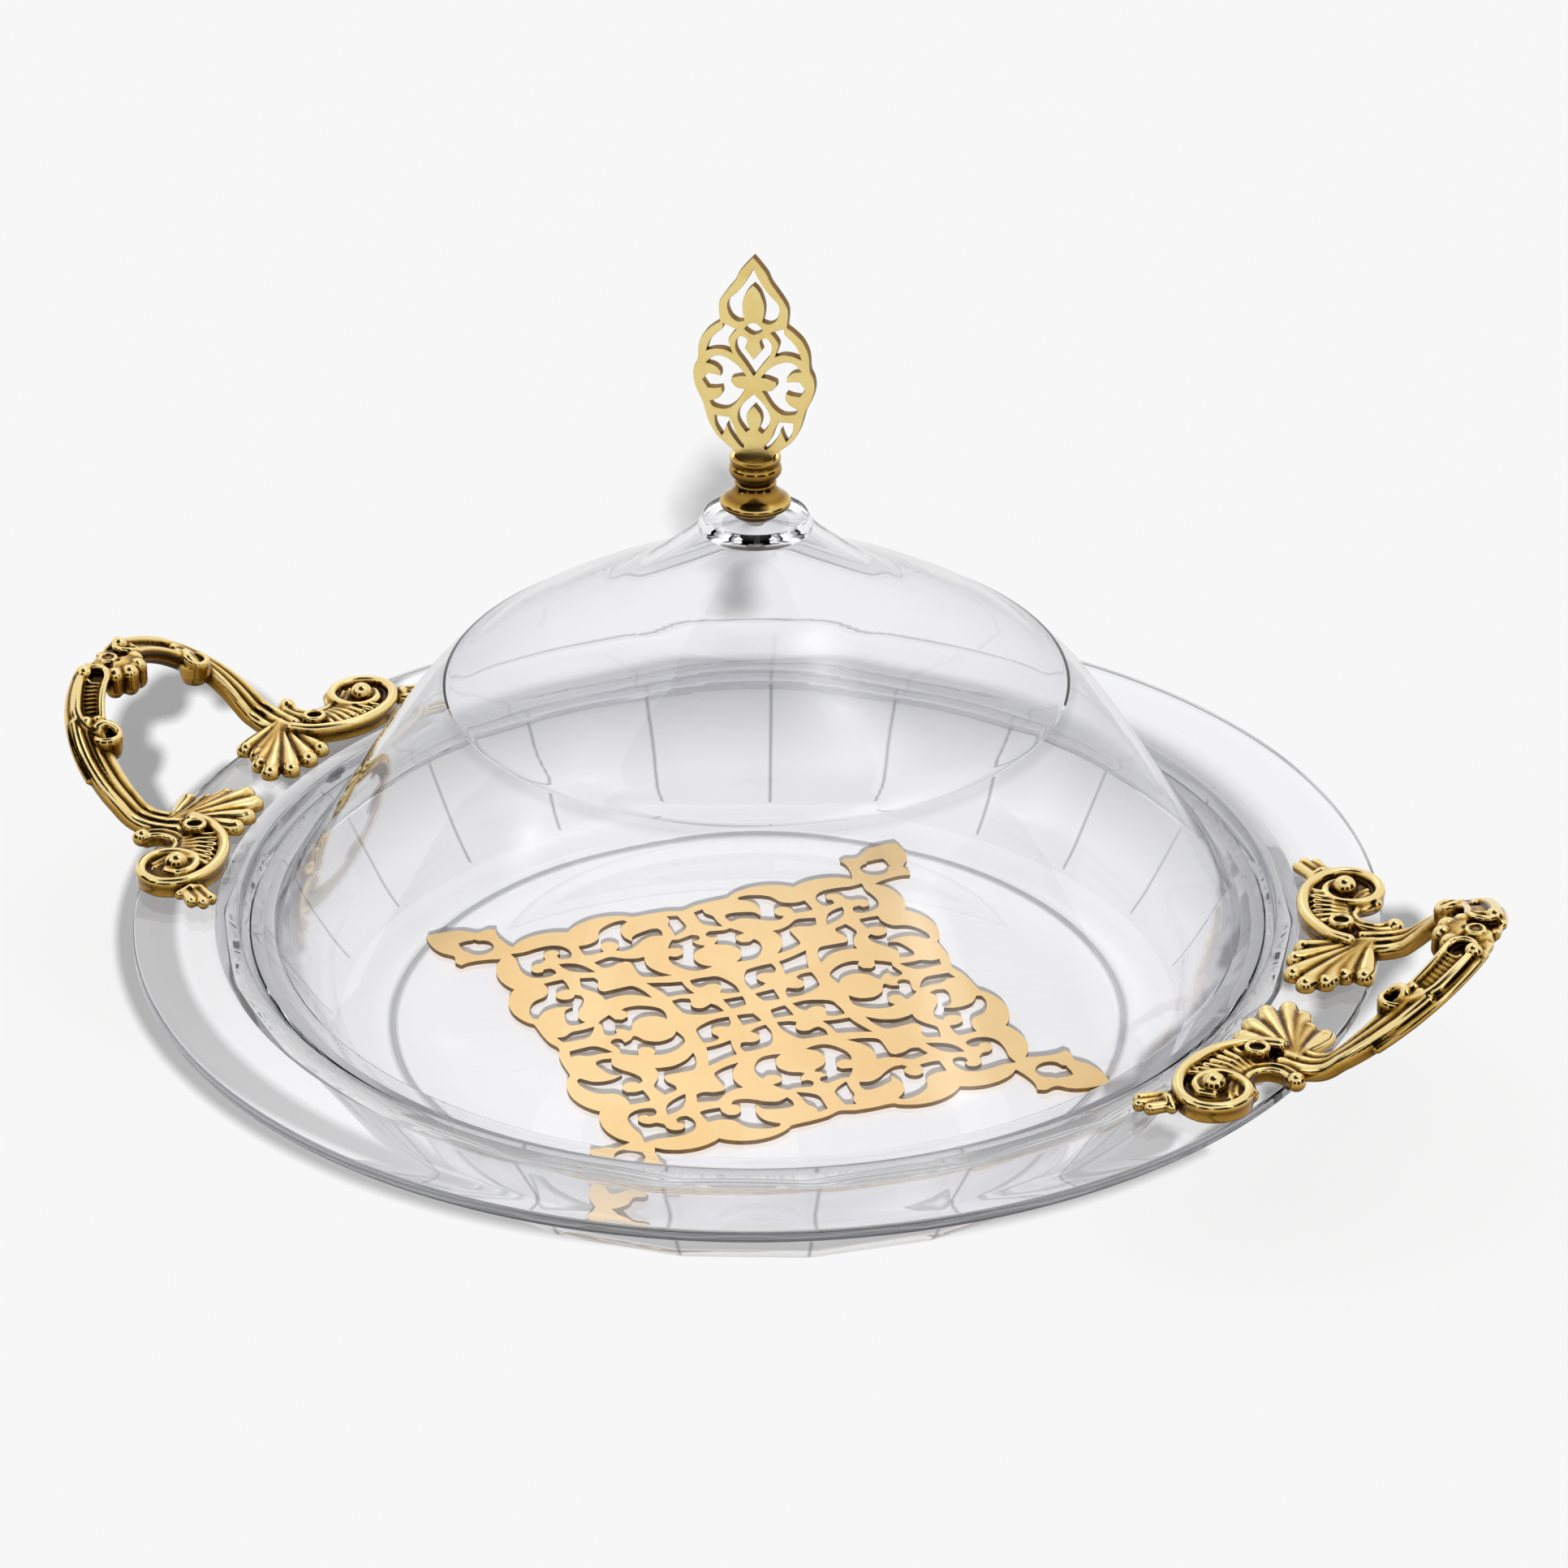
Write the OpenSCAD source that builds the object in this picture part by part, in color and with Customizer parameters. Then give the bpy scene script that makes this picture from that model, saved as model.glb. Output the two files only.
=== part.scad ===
// Round covered serving tray: clear tray with a faceted well, clear bell
// cover with a cast openwork knob, two cast scroll handles and an openwork
// metal sheet lying on the floor of the well.
// Millimetres, Z up, underside of the well at z = 0, handles on +X and -X.

/* [Tray] */
// Diameter of the sunk seat that takes the cover
seat_d = 332; // [280:1:380]
// Width of the flat rim outside the seat
rim_w = 34; // [30:1:46]
// Thickness of the flat rim
rim_t = 4; // [3:0.5:7]
// Height from the underside of the well to the top of the rim
tray_h = 48; // [40:1:70]
// Depth of the seat below the top of the rim
seat_deep = 6; // [5:0.5:9]
// Width of the ledge that the cover stands on
ledge_w = 8; // [6:0.5:11]
// Width of the bend between the flat floor and the straight wall
bend_w = 17.5; // [12:0.1:24]
// Thickness of the well floor
floor_t = 3; // [2.5:0.5:5]
// Lean of the inside of the well wall away from upright, degrees
in_lean = 30; // [22:1:32]
// Lean of the outside of the well wall away from upright, degrees
wall_lean = 34; // [28:1:38]
// Thickness of the well wall where it meets the floor
wall_t = 6; // [4:0.5:8]
// Number of flat facets round the outside of the well
facets = 23; // [16:1:30]
// Turn of the first facet edge from the handle line, degrees
facet_turn = 2; // [0:1:14]

/* [Cover] */
// Gap all round between the foot flange and the edge of the seat
cover_play = 3; // [1:0.5:5]
// Width of the foot flange outside the bell
flange_w = 8; // [5:0.5:12]
// Thickness of the foot flange
flange_t = 2.5; // [2:0.5:4]
// Wall thickness of the bell
cover_t = 2.5; // [2:0.5:4]
// Height of the cover from its seat to the top disc
cover_h = 140; // [110:1:170]
// Radius of the shoulder edge where the wall turns into the roof
shoulder_r = 98.5; // [90:0.5:106]
// Height of the shoulder edge above the seat
shoulder_h = 83.5; // [70:0.5:90]
// Radius of the small flat disc on top
disc_r = 16.5; // [14:0.5:20]

/* [Knob] */
// Height of the openwork plate above its foot
plate_h = 66; // [50:1:80]
// Thickness of the openwork plate
plate_t = 3; // [2.5:0.5:4]
// Turn of the plate from the handle line, degrees
plate_turn = 8; // [-20:1:20]
// Radius of the flared disc of the turned foot
foot_r = 11; // [10:0.5:13]
// Height of the turned foot
foot_h = 19.5; // [18:0.5:24]

/* [Handles] */
// Distance between the two screws of one handle
screw_gap = 84; // [78:1:90]
// Distance from the rim's edge in to the screws
screw_in = 18; // [16:0.5:20]
// Slope of the arch above the rim, degrees
arch_lean = 45; // [38:1:52]
// Width of the arch band
band_w = 10.5; // [9:0.5:12]
// Thickness of the scroll feet on the rim
foot_t = 5; // [4:0.5:6]
// Height of the screw bosses above the rim
boss_h = 8; // [7:0.5:10]

/* [Sheet] */
// Distance that the sheet's corner tips run past the flat floor, up the bend
tip_run = 3; // [0:0.5:8]
// Thickness of the openwork sheet
sheet_t = 1.5; // [1:0.25:2]

/* [Fasteners] */
// Diameter of the screw threads
screw_d = 4; // [3:0.5:4]
// Gap all round between a thread and the metal it holds
thread_gap = 0.1; // [0.05:0.05:0.2]
// Gap all round between a screw and the plastic it passes
hole_gap = 0.5; // [0.3:0.1:0.8]
// Thickness of the washers
washer_t = 0.8; // [0.6:0.1:1.2]
// Gap all round the foot of the plate in its slot
slot_gap = 0.15; // [0.1:0.05:0.3]

/* [Hidden] */
$fn = 96;
seat_r = seat_d / 2;
rim_r = seat_r + rim_w;
seat_z = tray_h - seat_deep;
mouth_r = seat_r - ledge_w;
lean_k = tan(wall_lean);
wall_foot_r = mouth_r - (seat_z - floor_t) * tan(in_lean);
flat_r = wall_foot_r - bend_w;
bend_r = bend_w / tan((90 - in_lean) / 2);
face_r = wall_foot_r + wall_t / cos(wall_lean) - floor_t * lean_k;
collar_z = tray_h - rim_t - 5;
corner_r = face_r / cos(180 / facets) + 1.6;
low_r = corner_r + 1.4 * lean_k;
collar_r = corner_r + collar_z * lean_k;
flange_r = seat_r - cover_play;
bell_r = flange_r - flange_w;
hub_z = seat_z + cover_h;
post_r = screw_d / 2;
bore_r = post_r + thread_gap;
hole_r = post_r + hole_gap;
boss_x = rim_r - screw_in;
boss_y = screw_gap / 2;
arch_r = boss_y - 1.5;
boss_r = 4;
head_r = screw_d * 0.85;
head_h = screw_d * 0.55;
washer_r = screw_d * 1.15;
kx = (flat_r + tip_run) / 121;
arch_x = rim_r + 8.4;
arch_z = tray_h + 9;
clear = [0.86, 0.93, 0.97, 0.35];
gold = [0.80, 0.62, 0.25];
pale_gold = [0.88, 0.77, 0.46];
sheet_gold = [0.95, 0.78, 0.50];
steel = [0.70, 0.70, 0.70];

// points on an arc from angle a0 to a1
function arc(c, r, a0, a1, n) = [for (i = [0:n])
  c + r * [cos(a0 + (a1 - a0) * i / n), sin(a0 + (a1 - a0) * i / n)]];
// smooth curve through a list of points
function blend(a, b, c, d, t) = 0.5 * (2 * b + (c - a) * t
  + (2 * a - 5 * b + 4 * c - d) * t * t + (3 * b - a - 3 * c + d) * t * t * t);
function curve(p, n) = [for (i = [0:len(p) - 2], k = [0:n - 1])
  blend(p[max(i - 1, 0)], p[i], p[i + 1], p[min(i + 2, len(p) - 1)], k / n)];
function turned(v) = [v[1], -v[0]] / norm(v);
// the same line moved inwards by a wall thickness
function inner(p, t) = [for (i = [0:len(p) - 1])
  p[i] + t * turned(p[max(i - 1, 0)] - p[min(i + 1, len(p) - 1)])];

// floor surface of the well as height over radius
function floor_z(r) = r <= flat_r ? floor_t
  : floor_t + bend_r - sqrt(bend_r * bend_r - (r - flat_r) * (r - flat_r));

// the tray
module tray_profile() {
  polygon(concat(
    [[0, 0], [face_r - 1, 0], [low_r, 1.4]],
    [[collar_r, collar_z], [collar_r + 1.4, collar_z + 3], [collar_r + 4, tray_h - rim_t]],
    [[rim_r - 1, tray_h - rim_t]],
    arc([rim_r - 1, tray_h - rim_t + 1], 1, -80, 0, 4),
    arc([rim_r - 1, tray_h - 1], 1, 0, 90, 5),
    arc([seat_r + 1, tray_h - 1], 1, 90, 180, 5),
    [[seat_r, seat_z], [mouth_r + 1, seat_z], [mouth_r, seat_z - 1]],
    arc([flat_r, floor_t + bend_r], bend_r, in_lean * -1, -90, 16),
    [[0, floor_t]]));
}

// everything outside the flat facets, up to a level ledge under the collar
module facet_cuts() {
  long = collar_z / cos(wall_lean) + 30;
  wide = 2 * (collar_r + 10) * tan(180 / facets) + 10;
  difference() {
    for (i = [0:facets - 1])
      rotate([0, 0, facet_turn + (i + 0.5) * 360 / facets])
        translate([face_r, -wide / 2, 0])
          rotate([0, wall_lean, 0])
            translate([0, 0, -12])
              cube([24, wide, long]);
    translate([0, 0, collar_z - 1])
      cylinder(h = 60, r = rim_r + 20);
  }
}

module rim_hole(x, y) {
  translate([x, y, tray_h - rim_t - 1])
    cylinder(h = rim_t + 2, r = hole_r);
}

module tray() {
  color(clear)
    difference() {
      rotate_extrude($fn = 180)
        tray_profile();
      facet_cuts();
      for (x = [-boss_x, boss_x], y = [-boss_y, boss_y])
        rim_hole(x, y);
    }
}

// the cover
// outer line of the bell from its foot up to the shoulder
function bell_wall() = [for (k = [[0, 0], [0.115, 0.10], [0.22, 0.21], [0.33, 0.315],
  [0.445, 0.42], [0.55, 0.515], [0.66, 0.618], [0.77, 0.725], [0.885, 0.85], [1, 1]])
  [bell_r + (shoulder_r - bell_r) * k[1],
   flange_t + (shoulder_h - flange_t) * k[0]]];
// outer line of the roof from the shoulder up to the neck
function bell_roof() = [for (k = [[0, 0], [0.053, 0.045], [0.123, 0.12], [0.21, 0.20],
  [0.385, 0.345], [0.565, 0.475], [0.655, 0.55], [0.735, 0.62], [0.80, 0.692],
  [0.86, 0.765], [0.92, 0.84], [0.965, 0.905], [0.992, 0.955], [1, 0.985]])
  [shoulder_r + (disc_r + 0.7 - shoulder_r) * k[0],
   shoulder_h + (cover_h - 1 - shoulder_h) * k[1]]];

module cover_profile() {
  wall = curve(bell_wall(), 3);
  roof = curve(bell_roof(), 2);
  line = concat(wall, roof);
  thin = inner(line, cover_t);
  roof_in = [for (p = thin) if (p[1] < cover_h - 2 * cover_t) p];
  polygon(concat(
    [[bell_r - cover_t, 0], [flange_r, 0], [flange_r, flange_t]],
    line,
    [[disc_r + 0.4, cover_h - 0.5], [disc_r - 0.6, cover_h], [0, cover_h]],
    [[0, cover_h - cover_t - 0.5], [washer_r + 1.5, cover_h - cover_t - 0.5]],
    [for (i = [len(roof_in) - 1:-1:0]) roof_in[i]]));
}

module cover() {
  color(clear)
    translate([0, 0, seat_z])
      difference() {
        rotate_extrude($fn = 180)
          cover_profile();
        translate([0, 0, cover_h - 20])
          cylinder(h = 30, r = hole_r);
      }
}

// the openwork sheet on the floor of the well
// half of the scalloped border between two corners, from the neck on
function edge_half() = concat([[91.3, 4.2]],
  arc([73.8, 3.6], 17.2, 8, 76, 7),
  arc([60.4, 20.6], 17.6, 0, 84, 7),
  [[57.5, 43], [53, 46.6]]);
function over(p) = [for (i = [len(p) - 1:-1:0]) [p[i][0], -p[i][1]]];
function neck() = [for (i = [len(ring_out) - 1:-1:1]) ring_out[i] + [91, 0]];
function quarter(p, q) = concat([[48.7, -48.7]], over(p), over(q),
  [for (i = [1:len(q) - 1]) q[i]], p);
function spun(p, a) = [for (q = p)
  [q[0] * cos(a) - q[1] * sin(a), q[0] * sin(a) + q[1] * cos(a)]];
// the whole scalloped outline in one loop
function edge_all() = [for (a = [0:90:270],
  q = spun(quarter(edge_half(), neck()), a)) q];
// holes of one eighth of the sheet
hole_long = [[34.3, 7.9], [39.4, 8.3], [44, 10.3], [46.6, 13.2], [47.8, 15.4], [50, 13.2],
  [53.5, 11.8], [58, 11.1], [60.2, 8.2], [61.6, 5.5], [57.5, 3.4], [55.3, 4.8],
  [54.1, 8], [52.2, 10.2], [50.4, 10.2], [47.8, 7.4], [44.4, 3.9], [42, 3.6], [38, 5.3]];
hole_hook = [[9.3, 6.5], [12.5, 10], [17, 12.3], [20.5, 13], [23, 11.5], [25.5, 9.5],
  [27.6, 7.2], [25.5, 4.7], [22.8, 3.8], [21.7, 5.2], [21, 7], [19, 8.3], [17, 7.9],
  [15.8, 6.2], [15.2, 3.8], [12.5, 4.4]];
hole_fruit = [[24.3, 18.4], [26, 15.6], [28.5, 13.4], [32, 13], [36.5, 14.3],
  [39.5, 16.8], [40.4, 19], [38, 19.6], [36.7, 22], [37.6, 24.4], [39.8, 25.1],
  [41.6, 24], [42.8, 23.4], [43.6, 26.5], [43.9, 29.2], [42, 30.4], [40.6, 32.6],
  [39.2, 34.9], [37.4, 35.2], [35.9, 34.1], [35.7, 32.4], [37.2, 30.8], [34.8, 29.8],
  [32.4, 30], [32.2, 28.6], [33.4, 25], [32.4, 21], [29.6, 18.7], [27, 18]];
hole_side = [[44, 31.8], [46.8, 35.3], [49.3, 37.8], [50.1, 41], [52.2, 43],
  [49, 44.8], [46, 42.2], [43.2, 39.4], [42.9, 36]];
hole_leaf = [[47.9, 30.4], [49.4, 33], [51.5, 34.3], [53.6, 33], [56, 29], [57, 26],
  [55.8, 23.2], [59, 24.5], [61.5, 26.8], [63, 29.6], [63.1, 32.5], [62.8, 34.6],
  [64.4, 35], [66.6, 33], [68.3, 29.6], [69, 26], [68.3, 23.4], [67.1, 21],
  [67.2, 18.4], [68.6, 15.6], [71, 13.4], [69, 11], [66.5, 8.5], [64.4, 10],
  [61.6, 13.3], [63.6, 15], [64.6, 17.4], [63.6, 19.5], [61.3, 20.3], [59, 19.2],
  [58.2, 17.3], [58.6, 15.8], [56.5, 15.6], [54.5, 17.5], [53.3, 21], [52.8, 25],
  [51.5, 28.4], [49.6, 29.8]];
// holes that lie across the corner line, upper half only
hole_star = [[4.3, 0], [6, 2.6], [7.5, 4.4], [9.4, 2.9], [12.6, 0]];
hole_lens = [[22.6, 0], [26.4, 2.4], [29.8, 5.4], [33.4, 3.2], [40.2, 0]];
hole_slit = [[58.4, 0], [62, 1.7], [66, 2.6], [69.4, 1.7], [72, 0]];
hole_tip = [[77.4, 0], [77.6, 1.5], [79, 3], [79.4, 5.3], [78.2, 7.4], [76.2, 7.9],
  [74.6, 6.6], [75, 4.9], [73.4, 3.5], [71.5, 4], [70.1, 5.6], [71, 8], [73.2, 10.2],
  [76.5, 11.2], [80, 10], [83.4, 6.6], [86, 2.9], [89.6, 0]];
// half outline and half hole of a corner ring, x counted from the neck
ring_out = [[0, 4.2], [3, 5.6], [6.6, 8], [9.2, 10.6], [10.4, 12.9], [13, 12],
  [14.2, 9.8], [15.8, 8.3], [20, 8], [24, 6.2], [27.6, 3.2], [30, 0]];
ring_in = [[5.4, 0], [6.1, 2.6], [8.2, 4.6], [10.6, 4.9], [12.6, 4], [14, 4.3],
  [14.9, 3.2], [16.2, 2.2], [17.9, 0]];

function both(p) = concat(p, [for (i = [len(p) - 1:-1:0]) [p[i][0], -p[i][1]]]);

module eight(p) {
  for (a = [0:90:270])
    rotate([0, 0, a]) {
      polygon(p);
      mirror([0, 1, 0])
        polygon(p);
    }
}

module four(p) {
  for (a = [0:90:270])
    rotate([0, 0, a])
      polygon(both(p));
}

module sheet_flat() {
  difference() {
    polygon(edge_all());
    eight(hole_long);
    eight(hole_hook);
    eight(hole_fruit);
    eight(hole_side);
    eight(hole_leaf);
    four(hole_star);
    four(hole_lens);
    four(hole_slit);
    four(hole_tip);
    for (a = [0:90:270])
      rotate([0, 0, a])
        translate([91, 0])
          polygon(both(ring_in));
  }
}

module lattice_insert() {
  reach = flat_r + tip_run + 5;
  radii = [for (i = [0:6]) flat_r + max(reach - flat_r, 1) * i / 6];
  color(sheet_gold)
    intersection() {
      linear_extrude(height = 40)
        scale([kx, kx, 1])
          sheet_flat();
      rotate_extrude($fn = 180)
        polygon(concat(
          [[0, floor_t]],
          [for (r = radii) [r, floor_z(r)]],
          [for (i = [6:-1:0]) [radii[i], floor_z(radii[i]) + sheet_t]],
          [[0, floor_t + sheet_t]]));
    }
}

// the knob
plate_half = [[6, -3], [6, 0.4], [8.4, 3], [11.8, 6], [14.3, 10], [15.6, 14], [16.4, 17],
  [18.3, 21], [19.3, 25], [18.9, 28.5], [17.8, 31], [17.4, 36], [15.6, 40], [13, 42.6],
  [10.6, 44.3], [10.9, 50], [8.8, 54], [5.6, 58.3], [4.3, 61.2], [1.8, 64.3], [0, 66.3]];
tear_half = [[0, 62.3], [2.2, 58], [4.8, 54.5], [7.5, 51.8], [8.2, 49.2], [7.1, 46.3],
  [5, 44.9], [2.9, 45.3], [3.4, 48], [3.4, 51], [2, 55], [0, 57.2]];
lens_half = [[0, 41], [1.6, 41.6], [2.8, 42.5], [1.6, 44], [0, 44.6]];
drop_half = [[0, 27.3], [2.5, 31], [5.4, 35], [5.6, 38], [4.2, 40], [2.5, 39.5],
  [2, 38.4], [2.8, 36], [0, 32.5]];
arch_half = [[0, 21], [3, 18], [5, 14.5], [4.8, 11.5], [2.6, 8.3], [1.4, 9.2],
  [2.4, 12], [2, 14.8], [0, 17.3]];
vase = [[5.5, 42], [9.6, 43.6], [9.8, 41.8], [11.8, 40], [13.8, 37.5], [15, 34.2],
  [12.3, 35.1], [9.3, 35.2], [6.8, 34.3], [7.6, 36.5], [8, 38.5], [6.8, 40.5]];
fork = [[8, 12.5], [12.5, 12.7], [12.2, 9.5], [10.3, 6.3], [9.4, 8], [8.6, 10.4],
  [7.6, 7.6], [5, 4], [3.4, 2.7], [3.2, 3.6], [5.4, 6.5], [6.6, 9.8]];
wing = [[2.5, 27], [5, 30], [9, 32.4], [12.5, 32.5], [15, 30.2], [12.3, 29.5],
  [10.6, 27.8], [10.5, 26], [12.4, 26.4], [14.6, 26.5], [16.2, 24.2], [14.6, 21.9],
  [12.4, 22], [10.3, 22.5], [10, 20.3], [11.5, 18.5], [14, 17.3], [12.8, 15.8],
  [9, 15.4], [6, 17.5], [4, 20.5], [2.8, 22.4], [5.5, 22.7], [7.3, 24.5], [7, 26],
  [4.5, 26.8]];

function flip(p) = concat(p, [for (i = [len(p) - 1:-1:0]) [-p[i][0], p[i][1]]]);

module two(p) {
  polygon(p);
  mirror([1, 0, 0])
    polygon(p);
}

module finial_plate() {
  k = plate_h / 66.3;
  color(pale_gold)
    translate([0, 0, hub_z + foot_h])
      rotate([0, 0, plate_turn])
        translate([0, plate_t / 2, 0])
          rotate([90, 0, 0])
            linear_extrude(height = plate_t)
              scale([k, k, 1])
                difference() {
                  polygon(flip(plate_half));
                  polygon(flip(tear_half));
                  polygon(flip(lens_half));
                  polygon(flip(drop_half));
                  polygon(flip(arch_half));
                  two(vase);
                  two(fork);
                  two(wing);
                }
}

module foot_profile() {
  h = foot_h;
  polygon([[0, 0], [7, 0], [7.4, 0.6], [7.6, 1.6], [foot_r - 1.4, 2.3],
    [foot_r - 0.2, 3.2], [foot_r, 4.2], [foot_r - 0.5, 5.2], [foot_r - 2.2, 6.4],
    [7.5, 7.7], [6.4, 9], [6, 9.9], [6.5, 10.4], [6.5, 11], [5.9, 11.5],
    [6.1, 12.2], [7, 12.8], [7.9, 13.8], [8.2, 15], [8, 16.2], [7.4, 17],
    [7.3, 17.6], [7.9, 18.3], [7.9, h - 0.3], [7.5, h], [0, h]]);
}

module finial_foot() {
  k = plate_h / 66.3;
  slot_w = 12 * k + 2 * slot_gap;
  slot_t = plate_t + 2 * slot_gap;
  color(gold)
    translate([0, 0, hub_z])
      difference() {
        rotate_extrude($fn = 96)
          foot_profile();
        rotate([0, 0, plate_turn])
          translate([-slot_w / 2, -slot_t / 2, foot_h - 3 * k])
            cube([slot_w, slot_t, 10]);
        translate([0, 0, -1])
          cylinder(h = 11, r = bore_r);
      }
}

module finial_screw() {
  low = hub_z - cover_t - 0.5;
  color(steel)
    translate([0, 0, low - washer_t])
      union() {
        cylinder(h = cover_t + washer_t + 8, r = post_r);
        translate([0, 0, -head_h])
          cylinder(h = head_h, r1 = head_r * 0.8, r2 = head_r);
      }
}

module finial_washer() {
  low = hub_z - cover_t - 0.5;
  color(steel)
    translate([0, 0, low - washer_t])
      difference() {
        cylinder(h = washer_t, r = washer_r);
        translate([0, 0, -1])
          cylinder(h = washer_t + 2, r = hole_r);
      }
}

// the handles
// fluted cross section of the arch band
module band() {
  w = band_w / 2;
  translate([-w, -2.6])
    square([2 * w, 3.4]);
  for (x = [-0.66, 0, 0.66])
    translate([x * w, 0.7])
      circle(r = w * 0.34, $fn = 8);
}

// cross section with two raised borders for the ribbed panels
module panel() {
  w = band_w / 2 + 0.4;
  translate([-w, -2.8])
    square([2 * w, 4.4]);
  for (x = [-0.78, 0.78])
    translate([x * w, 1.4])
      circle(r = w * 0.24, $fn = 8);
}

// sweeps a section round the arch, its face tipped outwards by an angle
module sweep(a0, a1, r, tip) {
  rotate([0, 0, a0])
    rotate_extrude(angle = a1 - a0, $fn = 40)
      translate([r, 0])
        rotate(-tip)
          children();
}

// the arch, drawn flat with its crown on +X; its faces look up when it leans
module arch() {
  sweep(-90, -58, arch_r, 14)
    band();
  sweep(58, 90, arch_r, 14)
    band();
  sweep(-60, 60, arch_r, 39)
    panel();
  for (s = [-1, 1]) {
    translate([-14, s * arch_r, 0])
      rotate([90, 0, 90])
        linear_extrude(height = 14.02)
          band();
    rotate([0, 0, s * 58])
      translate([arch_r - 4.6, 0, -1])
        rotate([0, 26, 0])
          translate([0, 0, -3.4])
            cylinder(h = 7.4, r = 5.2, $fn = 20);
    rotate([0, 0, s * 20])
      translate([arch_r + 1, 0, 3])
        sphere(r = 3.2, $fn = 12);
  }
  // crown ring and the shell lobes under it
  translate([arch_r + 0.6, 0, 0])
    rotate([0, arch_lean, 0])
      translate([0, 0, -4])
        difference() {
          cylinder(h = 8, r = 6.4, $fn = 22);
          translate([0, 0, 4])
            cylinder(h = 8, r = 2.6, $fn = 20);
        }
  for (a = [-13, -4.5, 4.5, 13])
    rotate([0, 0, a])
      translate([arch_r - 5.5, 0, 0])
        sphere(r = 3.8, $fn = 12);
}

// a rounded rib lying on the rim from p to q
module lobe(p, q, r1, r2, z) {
  hull() {
    translate([p[0], p[1], z])
      sphere(r = r1, $fn = 10);
    translate([q[0], q[1], z])
      sphere(r = r2, $fn = 10);
  }
}

// one scroll foot, x outwards from the screw line, y away from the middle
module scroll_foot() {
  root = [11, -3];
  // shell fan
  for (t = [[15, -21], [10, -24], [5, -29.5], [-1, -33], [-6, -28], [-8.5, -20], [-8, -12.5]])
    lobe(root, t, 3, 3.3, 1.6);
  // leg from the arch to the screw boss
  lobe([19, -1.5], [3, 0.5], 5.2, 4.2, 0.6);
  // scroll with its middle ball
  translate([-6.4, 23.5, -2])
    difference() {
      cylinder(h = foot_t + 2.6, r = 10.8, $fn = 24);
      translate([0, 0, foot_t + 1])
        difference() {
          cylinder(h = 4, r = 8, $fn = 20);
          translate([0, 0, -1])
            cylinder(h = 6, r = 3.6, $fn = 12);
        }
    }
  translate([-6.4, 23.5, 4.6])
    sphere(r = 3.8, $fn = 12);
  // outer band of the scroll and the ribbed leaf inside it
  translate([-6, 12, -2])
    cylinder(h = foot_t + 1, r = 9.6, $fn = 22);
  lobe([0, 1], [-13.5, 4], 4, 3.6, 1.4);
  lobe([-13.5, 4], [-17.6, 16], 3.6, 3.2, 1.4);
  // bound tail
  for (a = [-14, 0, 14])
    lobe([-14, 28], [-14, 28] + 13 * [cos(145 + a), sin(145 + a)], 2.4, 2.3, 1.2);
  translate([-16, 29, 0.8])
    sphere(r = 4.4, $fn = 12);
  // small outer scroll ending in a ball
  translate([8, 12.5, 0.6])
    rotate([0, 0, 150])
      rotate_extrude(angle = 190, $fn = 20)
        translate([8, 0])
          circle(r = 2.3, $fn = 8);
  translate([15.4, 8.6, 1])
    sphere(r = 3.1, $fn = 12);
  translate([3.4, 18, 1.4])
    sphere(r = 3.2, $fn = 12);
  // screw boss
  translate([0, 0, -2])
    cylinder(h = boss_h + 2, r = boss_r, $fn = 20);
}

// a whole handle on the +X side
module handle() {
  difference() {
    union() {
      translate([arch_x, 0, arch_z])
        rotate([0, -arch_lean, 0])
          arch();
      for (s = [-1, 1])
        translate([boss_x, s * boss_y, tray_h])
          mirror([0, s < 0 ? 1 : 0, 0])
            scroll_foot();
    }
    translate([rim_r - 60, -120, tray_h - 30])
      cube([100, 240, 30]);
    for (s = [-1, 1])
      translate([boss_x, s * boss_y, tray_h - 5])
        cylinder(h = boss_h + 10, r = bore_r + 0.02, $fn = 28);
  }
}

module handle_right() {
  color(gold)
    handle();
}

module handle_left() {
  color(gold)
    rotate([0, 0, 180])
      handle();
}

module at_screws() {
  for (x = [-boss_x, boss_x], y = [-boss_y, boss_y])
    translate([x, y, tray_h - rim_t - washer_t])
      children();
}

module handle_screws() {
  color(steel)
    at_screws()
      union() {
        cylinder(h = washer_t + rim_t + boss_h - 2, r = post_r);
        translate([0, 0, -head_h])
          cylinder(h = head_h, r1 = head_r * 0.8, r2 = head_r);
      }
}

module handle_washers() {
  color(steel)
    at_screws()
      difference() {
        cylinder(h = washer_t, r = washer_r);
        translate([0, 0, -1])
          cylinder(h = washer_t + 2, r = hole_r);
      }
}

tray();
cover();
lattice_insert();
finial_plate();
finial_foot();
finial_screw();
finial_washer();
handle_left();
handle_right();
handle_screws();
handle_washers();
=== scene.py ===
import math

import bmesh
import bpy
import numpy as np
from mathutils import Matrix, Vector, noise


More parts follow.
